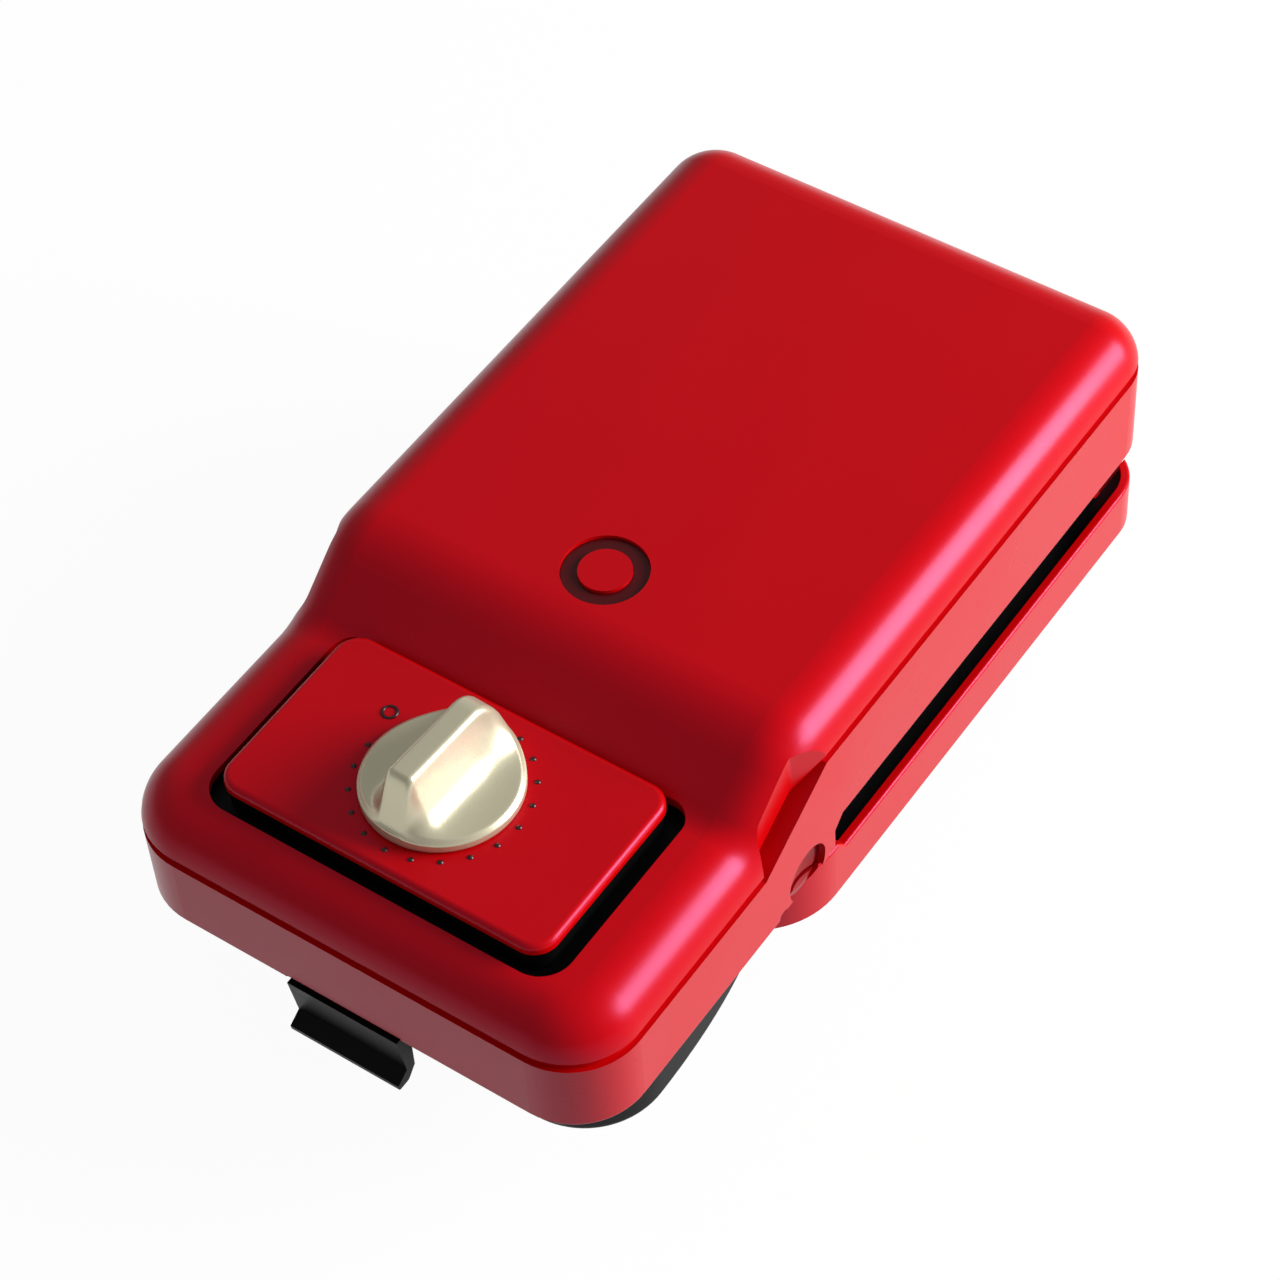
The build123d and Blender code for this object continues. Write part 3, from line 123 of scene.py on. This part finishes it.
class ShellSettings(bpy.types.PropertyGroup):
    """Finish of the red mouldings."""

    colour: FloatVectorProperty(
        name="Shell colour", description="Colour of the red mouldings", subtype="COLOR",
        size=3, min=0.0, max=1.0, default=(0.52, 0.0003, 0.0008),
    )
    roughness: FloatProperty(
        name="Shell roughness", description="Softness of the highlights on the shell",
        subtype="FACTOR", min=0.0, max=1.0, default=0.3,
    )
    grain: FloatProperty(
        name="Moulded grain", description="Height of the fine moulded grain",
        subtype="FACTOR", min=0.0, max=1.0, default=0.06,
    )


class KnobSettings(bpy.types.PropertyGroup):
    """Shape and finish of the timer knob."""

    turn: FloatProperty(
        name="Knob turn", description="Angle of the ridge from the rear, seen from above",
        subtype="ANGLE", default=math.radians(-2.5),
    )
    ridge: FloatProperty(
        name="Ridge half width", description="Half the width of the ridge at its top",
        subtype="DISTANCE", unit="LENGTH", min=0.001, max=0.006, default=0.0032,
    )
    skirt: FloatProperty(
        name="Disc height", description="Height of the flat disc under the ridge",
        subtype="DISTANCE", unit="LENGTH", min=0.001, max=0.008, default=0.0032,
    )
    rows: IntProperty(
        name="Rows", description="Rows of faces from the near end of the knob to its far end",
        min=40, max=240, default=132,
    )
    colour: FloatVectorProperty(
        name="Knob colour", description="Colour of the metallised knob", subtype="COLOR",
        size=3, min=0.0, max=1.0, default=(0.70, 0.655, 0.47),
    )


class DialSettings(bpy.types.PropertyGroup):
    """Marks round the knob."""

    count: IntProperty(name="Dots", description="Number of minute dots", min=2, max=40, default=15)
    radius: FloatProperty(
        name="Dot circle", description="Radius of the circle of dots",
        subtype="DISTANCE", unit="LENGTH", min=0.01, max=0.03, default=0.0208,
    )
    first: FloatProperty(
        name="First dot", description="Angle of the first dot, clockwise from the rear",
        subtype="ANGLE", default=math.radians(19.0),
    )
    pitch: FloatProperty(
        name="Dot pitch", description="Angle from dot to dot", subtype="ANGLE",
        default=math.radians(18.0),
    )
    dot: FloatProperty(
        name="Dot radius", description="Radius of one raised dot",
        subtype="DISTANCE", unit="LENGTH", min=0.0002, max=0.002, default=0.0008,
    )
    ring: FloatProperty(
        name="Ring radius", description="Radius of the small ring beside the dots",
        subtype="DISTANCE", unit="LENGTH", min=0.0005, max=0.004, default=0.0017,
    )
    ring_angle: FloatProperty(
        name="Ring angle", description="Angle of the small ring, clockwise from the rear",
        subtype="ANGLE", default=math.radians(-65.0),
    )
    ring_reach: FloatProperty(
        name="Ring reach", description="Distance of the small ring from the knob axis",
        subtype="DISTANCE", unit="LENGTH", min=0.015, max=0.03, default=0.0245,
    )


class StudioSettings(bpy.types.PropertyGroup):
    """Light and floor."""

    key: FloatProperty(
        name="Key light", description="Power of the soft light at the right rear",
        unit="POWER", min=0.0, default=37.0,
    )
    ambient: FloatProperty(
        name="Ambient", description="Strength of the even light all round", min=0.0, default=0.33,
    )
    floor: FloatVectorProperty(
        name="Floor colour", description="Colour of the floor", subtype="COLOR",
        size=3, min=0.0, max=1.0, default=(0.3, 0.3, 0.3),
    )
    backdrop: FloatProperty(
        name="Backdrop", description="Share of plain white in the floor as the camera sees it",
        subtype="FACTOR", min=0.0, max=1.0, default=0.95,
    )


# Node helpers

def link_all(tree, pairs):
    for out_socket, in_socket in pairs:
        tree.links.new(out_socket, in_socket)


def add_node(tree, kind, **values):
    """A node whose keyword values are set on its inputs by name or on the node itself."""
    node = tree.nodes.new(kind)
    for key, value in values.items():
        if key.startswith("in_"):
            node.inputs[key[3:].replace("_", " ")].default_value = value
        else:
            setattr(node, key, value)
    return node


def shader_group(name, inputs, outputs):
    group = bpy.data.node_groups.new(name, "ShaderNodeTree")
    for label, kind, default in inputs:
        socket = group.interface.new_socket(label, in_out="INPUT", socket_type=kind)
        if default is not None:
            socket.default_value = default
    for label, kind in outputs:
        group.interface.new_socket(label, in_out="OUTPUT", socket_type=kind)
    return group, group.nodes.new("NodeGroupInput"), group.nodes.new("NodeGroupOutput")


def make_grain_group():
    """Fine moulded grain: a height, and a slow patchy value for colour and roughness."""
    group, source, sink = shader_group(
        "moulded_grain",
        [("Scale", "NodeSocketFloat", GRAIN_SCALE), ("Patch Scale", "NodeSocketFloat", PATCH_SCALE)],
        [("Height", "NodeSocketFloat"), ("Patch", "NodeSocketFloat")],
    )
    coords = add_node(group, "ShaderNodeTexCoord")
    fine = add_node(group, "ShaderNodeTexNoise", in_Detail=2.0, in_Roughness=0.55)
    patch = add_node(group, "ShaderNodeTexNoise", in_Detail=4.0, in_Roughness=0.5)
    link_all(group, [
        (coords.outputs["Object"], fine.inputs["Vector"]),
        (coords.outputs["Object"], patch.inputs["Vector"]),
        (source.outputs["Scale"], fine.inputs["Scale"]),
        (source.outputs["Patch Scale"], patch.inputs["Scale"]),
        (fine.outputs["Fac"], sink.inputs["Height"]),
        (patch.outputs["Fac"], sink.inputs["Patch"]),
    ])
    return group


def make_brush_group():
    """Brushed lines along one direction of the object."""
    group, source, sink = shader_group(
        "brushed_lines",
        [("Stretch", "NodeSocketVector", (60.0, 60.0, 4000.0))],
        [("Height", "NodeSocketFloat")],
    )
    coords = add_node(group, "ShaderNodeTexCoord")
    scaled = add_node(group, "ShaderNodeVectorMath", operation="MULTIPLY")
    lines = add_node(group, "ShaderNodeTexNoise", in_Scale=1.0, in_Detail=3.0, in_Roughness=0.6)
    link_all(group, [
        (coords.outputs["Object"], scaled.inputs[0]),
        (source.outputs["Stretch"], scaled.inputs[1]),
        (scaled.outputs["Vector"], lines.inputs["Vector"]),
        (lines.outputs["Fac"], sink.inputs["Height"]),
    ])
    return group


def make_material(name, colour, roughness, grain, **looks):
    """A Principled material with the grain group on its colour, roughness and normal."""
    material = bpy.data.materials.new(name)
    material.use_nodes = True
    tree = material.node_tree
    shader = tree.nodes["Principled BSDF"]
    shader.inputs["Metallic"].default_value = looks.get("metallic", 0.0)
    shader.inputs["Specular IOR Level"].default_value = looks.get("specular", 0.5)
    shader.inputs["Coat Weight"].default_value = looks.get("coat", 0.0)
    shader.inputs["Coat Roughness"].default_value = looks.get("coat_roughness", 0.1)
    shader.inputs["Specular Tint"].default_value = looks.get("tint", (1.0, 1.0, 1.0, 1.0))
    if "transmission" in looks:
        shader.inputs["Transmission Weight"].default_value = looks["transmission"]
        shader.inputs["IOR"].default_value = 1.5
    detail = tree.nodes.new("ShaderNodeGroup")
    detail.node_tree = bpy.data.node_groups["moulded_grain"]
    detail.inputs["Scale"].default_value = looks.get("scale", GRAIN_SCALE)
    detail.inputs["Patch Scale"].default_value = looks.get("patch_scale", PATCH_SCALE)
    spread = looks.get("spread", TONE_SPREAD)
    tone = add_node(tree, "ShaderNodeMix", data_type="RGBA", blend_type="MIX")
    dark = [c * (1 - spread) for c in colour] + [1.0]
    light = [min(1.0, c * (1 + spread)) for c in colour] + [1.0]
    tone.inputs[6].default_value = dark
    tone.inputs[7].default_value = light
    rough = add_node(tree, "ShaderNodeMapRange")
    rough.inputs["To Min"].default_value = max(0.0, roughness - ROUGH_SPREAD)
    rough.inputs["To Max"].default_value = min(1.0, roughness + ROUGH_SPREAD)
    rough.inputs["From Min"].default_value = PATCH_LOW
    rough.inputs["From Max"].default_value = PATCH_HIGH
    bump = add_node(tree, "ShaderNodeBump")
    bump.inputs["Strength"].default_value = grain
    bump.inputs["Distance"].default_value = looks.get("bump_depth", GRAIN_DEPTH)
    height = detail.outputs["Height"]
    if "brush" in looks:
        lines = tree.nodes.new("ShaderNodeGroup")
        lines.node_tree = bpy.data.node_groups["brushed_lines"]
        lines.inputs["Stretch"].default_value = looks["brush"]
        height = lines.outputs["Height"]
    link_all(tree, [
        (detail.outputs["Patch"], tone.inputs[0]),
        (detail.outputs["Patch"], rough.inputs["Value"]),
        (tone.outputs[2], shader.inputs["Base Color"]),
        (rough.outputs["Result"], shader.inputs["Roughness"]),
        (height, bump.inputs["Height"]),
        (bump.outputs["Normal"], shader.inputs["Normal"]),
    ])
    return material


def make_finishes():
    shell = bpy.context.scene.sandwich_shell
    knob = bpy.context.scene.sandwich_knob
    red = tuple(shell.colour)
    make_material(
        "shell_red", red, shell.roughness, shell.grain,
        specular=0.28, tint=(1.0, 0.45, 1.0, 1.0), spread=0.03,
    )
    make_material("ring_red", (0.07, 0.0, 0.002), 0.35, 0.05, specular=0.3)
    # Release buttons: the shell red darkened to about half, as painted shade for their sunk faces.
    make_material("button_red_painted_shade", (0.26, 0.0, 0.003), 0.34, 0.05, specular=0.4)
    # Black plastic for the trims; on the panel tray the same black is painted shade filling the gap round
    # the timer panel.
    make_material("black_trim_and_painted_shade", (0.0015, 0.0015, 0.0018), 0.45, 0.2, specular=0.12, scale=1500.0)
    make_material(
        "knob_champagne", tuple(knob.colour), 0.33, 0.12, metallic=0.6, specular=0.3, spread=0.03,
        scale=1800.0,
    )
    make_material("works_white", (0.78, 0.76, 0.70), 0.5, 0.1)
    make_material("steel_brushed", (0.60, 0.60, 0.61), 0.34, 0.25, metallic=1.0, brush=(3000.0, 60.0, 60.0))
    make_material("steel_pressed", (0.62, 0.62, 0.62), 0.3, 0.1, metallic=1.0, patch_scale=60.0)
    make_material("sheath_dark", (0.14, 0.13, 0.12), 0.5, 0.3, metallic=0.9, spread=0.3, patch_scale=120.0)
    make_material(
        "plate_coated", (0.022, 0.022, 0.024), 0.4, 0.35, specular=0.5, spread=0.4,
        scale=1100.0, patch_scale=900.0, bump_depth=0.0003,
    )
    make_material("brass_plain", (0.72, 0.55, 0.24), 0.3, 0.1, metallic=1.0)
    make_material("rubber_black", (0.015, 0.015, 0.015), 0.75, 0.4, specular=0.25, scale=900.0)
    make_material("lamp_glass", (0.95, 0.62, 0.5), 0.05, 0.01, transmission=0.9)
    make_material("dial_mark", (0.03, 0.0, 0.003), 0.35, 0.05, specular=0.6)


FINISH_OF_NODE = {
    "shell_red": ["lid_cover", "lid_frame", "timer_panel", "base_frame", "indicator_cap"],
    # The release buttons wear a darker red than the shell: painted shade.
    "button_red_painted_shade": ["upper_release_button", "lower_release_button"],
    "ring_red": ["indicator_lens"],
    # The panel tray's black is a sheet of painted shade in the gap round the timer panel.
    "black_trim_and_painted_shade": [
        "panel_tray", "base_pan", "lower_handle", "latch", "upper_inner_frame", "lower_inner_frame",
    ],
    "knob_champagne": ["timer_knob"],
    "works_white": ["timer_cam", "lamp_holder", "thermostat", "terminal_block"],
    "steel_brushed": ["timer_shaft", "timer_case", "hinge_pins", "latch_pin"],
    "steel_pressed": [
        "mainspring_barrel", "timer_screws", "timer_bell", "base_screws", "handle_screws",
        "lid_screws", "upper_heat_shield", "lower_heat_shield",
    ],
    "sheath_dark": ["upper_heater", "lower_heater"],
    "plate_coated": ["upper_cooking_plate", "lower_cooking_plate"],
    "brass_plain": ["timer_contacts", "thermal_fuse"],
    "rubber_black": ["rubber_feet", "cord_bush"],
    "lamp_glass": ["indicator_lamp"],
}


# Small edge rounds that catch the light, in metres
EDGE_ROUND = {
    "timer_panel": 0.0003, "lid_frame": 0.0003, "base_frame": 0.0003, "latch": 0.0004,
    "lower_handle": 0.0004, "upper_cooking_plate": 0.0004, "lower_cooking_plate": 0.0004,
}


# Mesh helpers

def mesh_piece(name, verts, faces, smooth=True):
    mesh = bpy.data.meshes.new(name)
    mesh.from_pydata(verts, [], faces)
    mesh.validate()
    mesh.update()
    for polygon in mesh.polygons:
        polygon.use_smooth = smooth
    piece = bpy.data.objects.new(name, mesh)
    bpy.context.scene.collection.objects.link(piece)
    return piece


def dress(piece, finish):
    piece.data.materials.clear()
    piece.data.materials.append(bpy.data.materials[finish])


def round_edges(piece, width):
    modifier = piece.modifiers.new("edge_round", "BEVEL")
    modifier.width = width
    modifier.segments = EDGE_SEGMENTS
    modifier.limit_method = "ANGLE"
    modifier.angle_limit = EDGE_ANGLE
    modifier.use_clamp_overlap = True
    modifier.harden_normals = True


def from_nodes(name, tree, values):
    """Runs a geometry tree on an empty mesh and keeps the result as a plain mesh."""
    holder = bpy.data.objects.new(name + "_source", bpy.data.meshes.new(name + "_source"))
    bpy.context.scene.collection.objects.link(holder)
    modifier = holder.modifiers.new("shape", "NODES")
    modifier.node_group = tree
    for item in tree.interface.items_tree:
        if item.item_type == "SOCKET" and item.in_out == "INPUT" and item.name in values:
            modifier[item.identifier] = values[item.name]
    bpy.context.view_layer.update()
    graph = bpy.context.evaluated_depsgraph_get()
    mesh = bpy.data.meshes.new_from_object(holder.evaluated_get(graph))
    mesh.name = name
    bpy.data.objects.remove(holder)
    piece = bpy.data.objects.new(name, mesh)
    bpy.context.scene.collection.objects.link(piece)
    return piece


def smoothstep(a, b, x):
    t = min(1.0, max(0.0, (x - a) / (b - a)))
    return t * t * (3 - 2 * t)


def weld(piece, distance):
    work = bmesh.new()
    work.from_mesh(piece.data)
    bmesh.ops.remove_doubles(work, verts=work.verts, dist=distance)
    bmesh.ops.recalc_face_normals(work, faces=work.faces)
    work.to_mesh(piece.data)
    work.free()


# Operators

class SANDWICH_OT_finishes(bpy.types.Operator):
    """Build the shared node groups and every finish, and dress the solids with them."""

    bl_idname = "sandwich.finishes"
    bl_label = "Finishes"

    def execute(self, context):
        make_grain_group()
        make_brush_group()
        make_finishes()
        for finish, names in FINISH_OF_NODE.items():
            for node in names:
                dress(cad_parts[node], finish)
        for node, width in EDGE_ROUND.items():
            round_edges(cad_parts[node], width)
        return {"FINISHED"}


def ridge_line(y, disc, height):
    """Height of the ridge along the knob: a sloping nose at the near end, a round far end."""
    near = smoothstep(NOSE_FOOT_Y, NOSE_TOP_Y, y) ** NOSE_BEND
    past = min(1.0, max(0.0, (y - HUMP_START_Y) / HUMP_LENGTH))
    far = math.sqrt(1.0 - past * past)
    return disc + (height - disc) * near * far


def knob_height(x, y, settings, rim, height):
    """Height of the upper face over a point of the knob, in its own turned frame."""
    disc = settings.skirt
    half = settings.ridge
    r = math.hypot(x, y)
    drop = RIM_DROP * smoothstep(rim - RIM_ROUND, rim, r)
    face = disc - drop - DISC_SAG * smoothstep(0.0, DISC_SAG_SHARE * rim, r)
    spread = FLANK_WIDTH + FLANK_GAIN * smoothstep(FLANK_START_Y, FLANK_END_Y, y)
    beyond = max(0.0, abs(x) - half)
    shoulder = SHOULDER_DROP * smoothstep(half - SHOULDER_WIDTH, half, abs(x))
    share = (1.0 - shoulder) * math.exp(-((beyond / spread) ** FLANK_BEND))
    return face + max(0.0, ridge_line(y, disc, height) - face) * share


def knob_columns(chord):
    """Places across one row: close together over the ridge and its flanks."""
    inner = min(INNER_REACH, INNER_SHARE * chord)
    places = [inner * (2 * i / INNER_COLUMNS - 1) for i in range(INNER_COLUMNS + 1)]
    outer = [inner + (chord - inner) * (i + 1) / OUTER_COLUMNS for i in range(OUTER_COLUMNS)]
    return [-x for x in reversed(outer)] + places + outer


def knob_mesh(settings, rim, height):
    """Points and faces of the whole knob: the upper face, the side in steps, the flat bottom."""
    rows = settings.rows
    width = INNER_COLUMNS + 2 * OUTER_COLUMNS + 1
    verts = []
    faces = []
    for row in range(rows + 1):
        y = -rim * math.cos(math.pi * row / rows)
        chord = math.sqrt(max(0.0, rim * rim - y * y))
        verts += [(x, y, knob_height(x, y, settings, rim, height)) for x in knob_columns(chord)]
    for row in range(rows):
        for column in range(width - 1):
            a = row * width + column
            faces.append((a, a + 1, a + width + 1, a + width))
    right = [row * width + width - 1 for row in range(rows + 1)]
    left = [row * width for row in range(rows + 1)]
    loop = right + left[::-1][1:-1]
    above = loop
    for level in SIDE_LEVELS:
        first = len(verts)
        verts += [(verts[i][0], verts[i][1], verts[i][2] * level) for i in loop]
        below = list(range(first, first + len(loop)))
        for i in range(len(loop)):
            after = (i + 1) % len(loop)
            faces.append((above[i], above[after], below[after], below[i]))
        above = below
    faces.append(tuple(reversed(above)))
    return verts, faces


class SANDWICH_OT_knob(bpy.types.Operator):
    """Build the timer knob: a flat disc with a tall ridge whose flanks run out onto it."""

    bl_idname = "sandwich.knob"
    bl_label = "Timer knob"

    def execute(self, context):
        settings = context.scene.sandwich_knob
        centre = (KNOB_LO + KNOB_HI) / 2
        rim = (KNOB_HI.x - KNOB_LO.x) / 2 - KNOB_INSET
        height = KNOB_HI.z - KNOB_LO.z - KNOB_INSET
        verts, faces = knob_mesh(settings, rim, height)
        turn = Matrix.Rotation(settings.turn, 3, "Z")
        placed = [turn @ Vector(v) + Vector((centre.x, centre.y, KNOB_LO.z)) for v in verts]
        knob = mesh_piece("knob_top", placed, faces)
        weld(knob, WELD_GAP)
        dress(knob, "knob_champagne")
        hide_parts("timer_knob")
        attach(knob, "timer_rotor")
        return {"FINISHED"}


def make_dial_tree():
    """Raised dots at an even pitch on an arc, and one small ring beside them."""
    tree = bpy.data.node_groups.new("dial_dots", "GeometryNodeTree")
    for label, kind in (
        ("Count", "NodeSocketInt"), ("Radius", "NodeSocketFloat"), ("First", "NodeSocketFloat"),
        ("Pitch", "NodeSocketFloat"), ("Dot", "NodeSocketFloat"), ("Centre", "NodeSocketVector"),
        ("Ring", "NodeSocketFloat"), ("Ring Place", "NodeSocketVector"), ("Finish", "NodeSocketMaterial"),
    ):
        tree.interface.new_socket(label, in_out="INPUT", socket_type=kind)
    tree.interface.new_socket("Geometry", in_out="OUTPUT", socket_type="NodeSocketGeometry")
    source = tree.nodes.new("NodeGroupInput")
    sink = tree.nodes.new("NodeGroupOutput")
    points = add_node(tree, "GeometryNodePoints")
    index = add_node(tree, "GeometryNodeInputIndex")
    along = add_node(tree, "ShaderNodeMath", operation="MULTIPLY_ADD")
    sine = add_node(tree, "ShaderNodeMath", operation="SINE")
    cosine = add_node(tree, "ShaderNodeMath", operation="COSINE")
    place = add_node(tree, "ShaderNodeCombineXYZ")
    scaled = add_node(tree, "ShaderNodeVectorMath", operation="SCALE")
    moved = add_node(tree, "ShaderNodeVectorMath", operation="ADD")
    ball = add_node(tree, "GeometryNodeMeshUVSphere")
    ball.inputs["Segments"].default_value = BALL_SEGMENTS
    ball.inputs["Rings"].default_value = BALL_RINGS
    spread = add_node(tree, "GeometryNodeInstanceOnPoints")
    ring = add_node(tree, "GeometryNodeCurvePrimitiveCircle", in_Resolution=RING_STEPS)
    profile = add_node(tree, "GeometryNodeCurvePrimitiveCircle", in_Resolution=RING_PROFILE_STEPS)
    profile_radius = add_node(tree, "ShaderNodeMath", operation="MULTIPLY")
    profile_radius.inputs[1].default_value = RING_THICKNESS_SHARE
    tube = add_node(tree, "GeometryNodeCurveToMesh")
    placed_ring = add_node(tree, "GeometryNodeTransform")
    both = add_node(tree, "GeometryNodeJoinGeometry")
    whole = add_node(tree, "GeometryNodeRealizeInstances")
    finish = add_node(tree, "GeometryNodeSetMaterial")
    link_all(tree, [
        (source.outputs["Count"], points.inputs["Count"]),
        (index.outputs[0], along.inputs[0]),
        (source.outputs["Pitch"], along.inputs[1]),
        (source.outputs["First"], along.inputs[2]),
        (along.outputs[0], sine.inputs[0]),
        (along.outputs[0], cosine.inputs[0]),
        (sine.outputs[0], place.inputs["X"]),
        (cosine.outputs[0], place.inputs["Y"]),
        (place.outputs[0], scaled.inputs[0]),
        (source.outputs["Radius"], scaled.inputs["Scale"]),
        (scaled.outputs[0], moved.inputs[0]),
        (source.outputs["Centre"], moved.inputs[1]),
        (moved.outputs[0], points.inputs["Position"]),
        (source.outputs["Dot"], ball.inputs["Radius"]),
        (points.outputs[0], spread.inputs["Points"]),
        (ball.outputs["Mesh"], spread.inputs["Instance"]),
        (source.outputs["Ring"], ring.inputs["Radius"]),
        (source.outputs["Ring"], profile_radius.inputs[0]),
        (profile_radius.outputs[0], profile.inputs["Radius"]),
        (ring.outputs[0], tube.inputs["Curve"]),
        (profile.outputs[0], tube.inputs["Profile Curve"]),
        (tube.outputs[0], placed_ring.inputs["Geometry"]),
        (source.outputs["Ring Place"], placed_ring.inputs["Translation"]),
        (placed_ring.outputs[0], both.inputs[0]),
        (spread.outputs[0], both.inputs[0]),
        (both.outputs[0], whole.inputs[0]),
        (whole.outputs[0], finish.inputs["Geometry"]),
        (source.outputs["Finish"], finish.inputs["Material"]),
        (finish.outputs[0], sink.inputs["Geometry"]),
    ])
    return tree


class SANDWICH_OT_dial(bpy.types.Operator):
    """Set the minute dots and the small ring round the knob."""

    bl_idname = "sandwich.dial"
    bl_label = "Dial marks"

    def execute(self, context):
        settings = context.scene.sandwich_dial
        centre = (KNOB_LO + KNOB_HI) / 2
        dots = from_nodes("dial_dots", make_dial_tree(), {
            "Count": settings.count,
            "Radius": settings.radius,
            "First": settings.first,
            "Pitch": settings.pitch,
            "Dot": settings.dot,
            "Centre": (centre.x, centre.y, PANEL_TOP - settings.dot * DOT_SUNK_SHARE),
            "Ring": settings.ring,
            "Ring Place": (
                centre.x + settings.ring_reach * math.sin(settings.ring_angle),
                centre.y + settings.ring_reach * math.cos(settings.ring_angle),
                PANEL_TOP,
            ),
            "Finish": bpy.data.materials["dial_mark"],
        })
        for polygon in dots.data.polygons:
            polygon.use_smooth = True
        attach(dots, "lid")
        return {"FINISHED"}


def make_floor(settings):
    """A matt floor that camera, mirror and glass rays see as nearly plain white."""
    corners = [
        (x * FLOOR_HALF, y * FLOOR_HALF, FLOOR_LEVEL) for x, y in ((-1, -1), (1, -1), (1, 1), (-1, 1))
    ]
    floor = mesh_piece("floor", corners, [(0, 1, 2, 3)], smooth=False)
    material = bpy.data.materials.new("floor_pale")
    material.use_nodes = True
    tree = material.node_tree
    shader = tree.nodes["Principled BSDF"]
    shader.inputs["Roughness"].default_value = 0.9
    shader.inputs["Specular IOR Level"].default_value = 0.1
    rays = add_node(tree, "ShaderNodeLightPath")
    direct = add_node(tree, "ShaderNodeMath", operation="MAXIMUM")
    shown = add_node(tree, "ShaderNodeMath", operation="MAXIMUM")
    tone = add_node(tree, "ShaderNodeMix", data_type="RGBA")
    tone.inputs[6].default_value = (*settings.floor, 1.0)
    tone.inputs[7].default_value = (1.0, 1.0, 1.0, 1.0)
    share = add_node(tree, "ShaderNodeMath", operation="MULTIPLY")
    share.inputs[1].default_value = settings.backdrop
    white = add_node(tree, "ShaderNodeEmission", in_Strength=1.0)
    blend = add_node(tree, "ShaderNodeMixShader")
    sink = tree.nodes["Material Output"]
    link_all(tree, [
        (rays.outputs["Is Camera Ray"], direct.inputs[0]),
        (rays.outputs["Is Transmission Ray"], direct.inputs[1]),
        (direct.outputs[0], shown.inputs[0]),
        (rays.outputs["Is Glossy Ray"], shown.inputs[1]),
        (shown.outputs[0], tone.inputs[0]),
        (tone.outputs[2], shader.inputs["Base Color"]),
        (shown.outputs[0], share.inputs[0]),
        (share.outputs[0], blend.inputs[0]),
        (shader.outputs["BSDF"], blend.inputs[1]),
        (white.outputs["Emission"], blend.inputs[2]),
        (blend.outputs["Shader"], sink.inputs["Surface"]),
    ])
    floor.data.materials.append(material)


def make_world(scene, settings):
    world = bpy.data.worlds.new("studio")
    world.use_nodes = True
    world.node_tree.nodes["Background"].inputs["Strength"].default_value = settings.ambient
    world.node_tree.nodes["Background"].inputs["Color"].default_value = (1.0, 1.0, 1.0, 1.0)
    scene.world = world


def make_lamp(scene, settings):
    """One round softbox at the right rear, turned to the object."""
    lamp = bpy.data.lights.new("key_softbox", "AREA")
    lamp.shape = "DISK"
    lamp.size = LAMP_SIZE
    lamp.energy = settings.key
    key = bpy.data.objects.new("key_softbox", lamp)
    scene.collection.objects.link(key)
    aim = LAMP_SIDE.normalized()
    key.location = aim * LAMP_DISTANCE + Vector((0, 0, LAMP_RISE))
    key.rotation_mode = "QUATERNION"
    key.rotation_quaternion = aim.to_track_quat("Z", "Y")


def make_camera(scene):
    camera_data = bpy.data.cameras.new("photo_camera")
    camera_data.lens = CAMERA_LENS
    camera_data.sensor_width = CAMERA_SENSOR
    camera_data.clip_start = CAMERA_NEAR
    camera_data.clip_end = CAMERA_FAR
    camera = bpy.data.objects.new("photo_camera", camera_data)
    scene.collection.objects.link(camera)
    back = Vector((
        math.sin(CAMERA_AZIMUTH) * math.cos(CAMERA_ELEVATION),
        -math.cos(CAMERA_AZIMUTH) * math.cos(CAMERA_ELEVATION),
        math.sin(CAMERA_ELEVATION),
    ))
    upright = (-back).to_track_quat("-Z", "Y").to_matrix()
    roll = Matrix.Rotation(CAMERA_ROLL, 3, "Z")
    camera.matrix_world = Matrix.Translation(CAMERA_PLACE) @ (upright @ roll).to_4x4()
    scene.camera = camera


class SANDWICH_OT_stage(bpy.types.Operator):
    """Set the floor, the soft studio light and the camera."""

    bl_idname = "sandwich.stage"
    bl_label = "Stage"

    def execute(self, context):
        scene = context.scene
        settings = scene.sandwich_studio
        scene.view_settings.view_transform = "Standard"
        make_floor(settings)
        make_world(scene, settings)
        make_lamp(scene, settings)
        make_camera(scene)
        return {"FINISHED"}


class SANDWICH_PT_tools(bpy.types.Panel):
    """Shows the settings and the build buttons of the sandwich maker."""

    bl_idname = "SANDWICH_PT_tools"
    bl_label = "Sandwich maker"
    bl_space_type = "VIEW_3D"
    bl_region_type = "UI"
    bl_category = "Sandwich"

    def draw(self, context):
        layout = self.layout
        for settings in ("sandwich_shell", "sandwich_knob", "sandwich_dial", "sandwich_studio"):
            group = getattr(context.scene, settings)
            for name in group.__annotations__:
                layout.prop(group, name)
        for operator in OPERATORS:
            layout.operator(operator.bl_idname)


SETTINGS = {
    "sandwich_shell": ShellSettings,
    "sandwich_knob": KnobSettings,
    "sandwich_dial": DialSettings,
    "sandwich_studio": StudioSettings,
}
OPERATORS = [SANDWICH_OT_stage, SANDWICH_OT_finishes, SANDWICH_OT_knob, SANDWICH_OT_dial]


def register():
    for cls in [*SETTINGS.values(), *OPERATORS, SANDWICH_PT_tools]:
        bpy.utils.register_class(cls)
    for name, cls in SETTINGS.items():
        setattr(bpy.types.Scene, name, PointerProperty(type=cls))


def unregister():
    for name in SETTINGS:
        delattr(bpy.types.Scene, name)
    for cls in reversed([*SETTINGS.values(), *OPERATORS, SANDWICH_PT_tools]):
        bpy.utils.unregister_class(cls)


def main():
    register()
    bpy.ops.sandwich.stage()
    bpy.ops.sandwich.finishes()
    bpy.ops.sandwich.knob()
    bpy.ops.sandwich.dial()


if __name__ == "__main__":
    main()
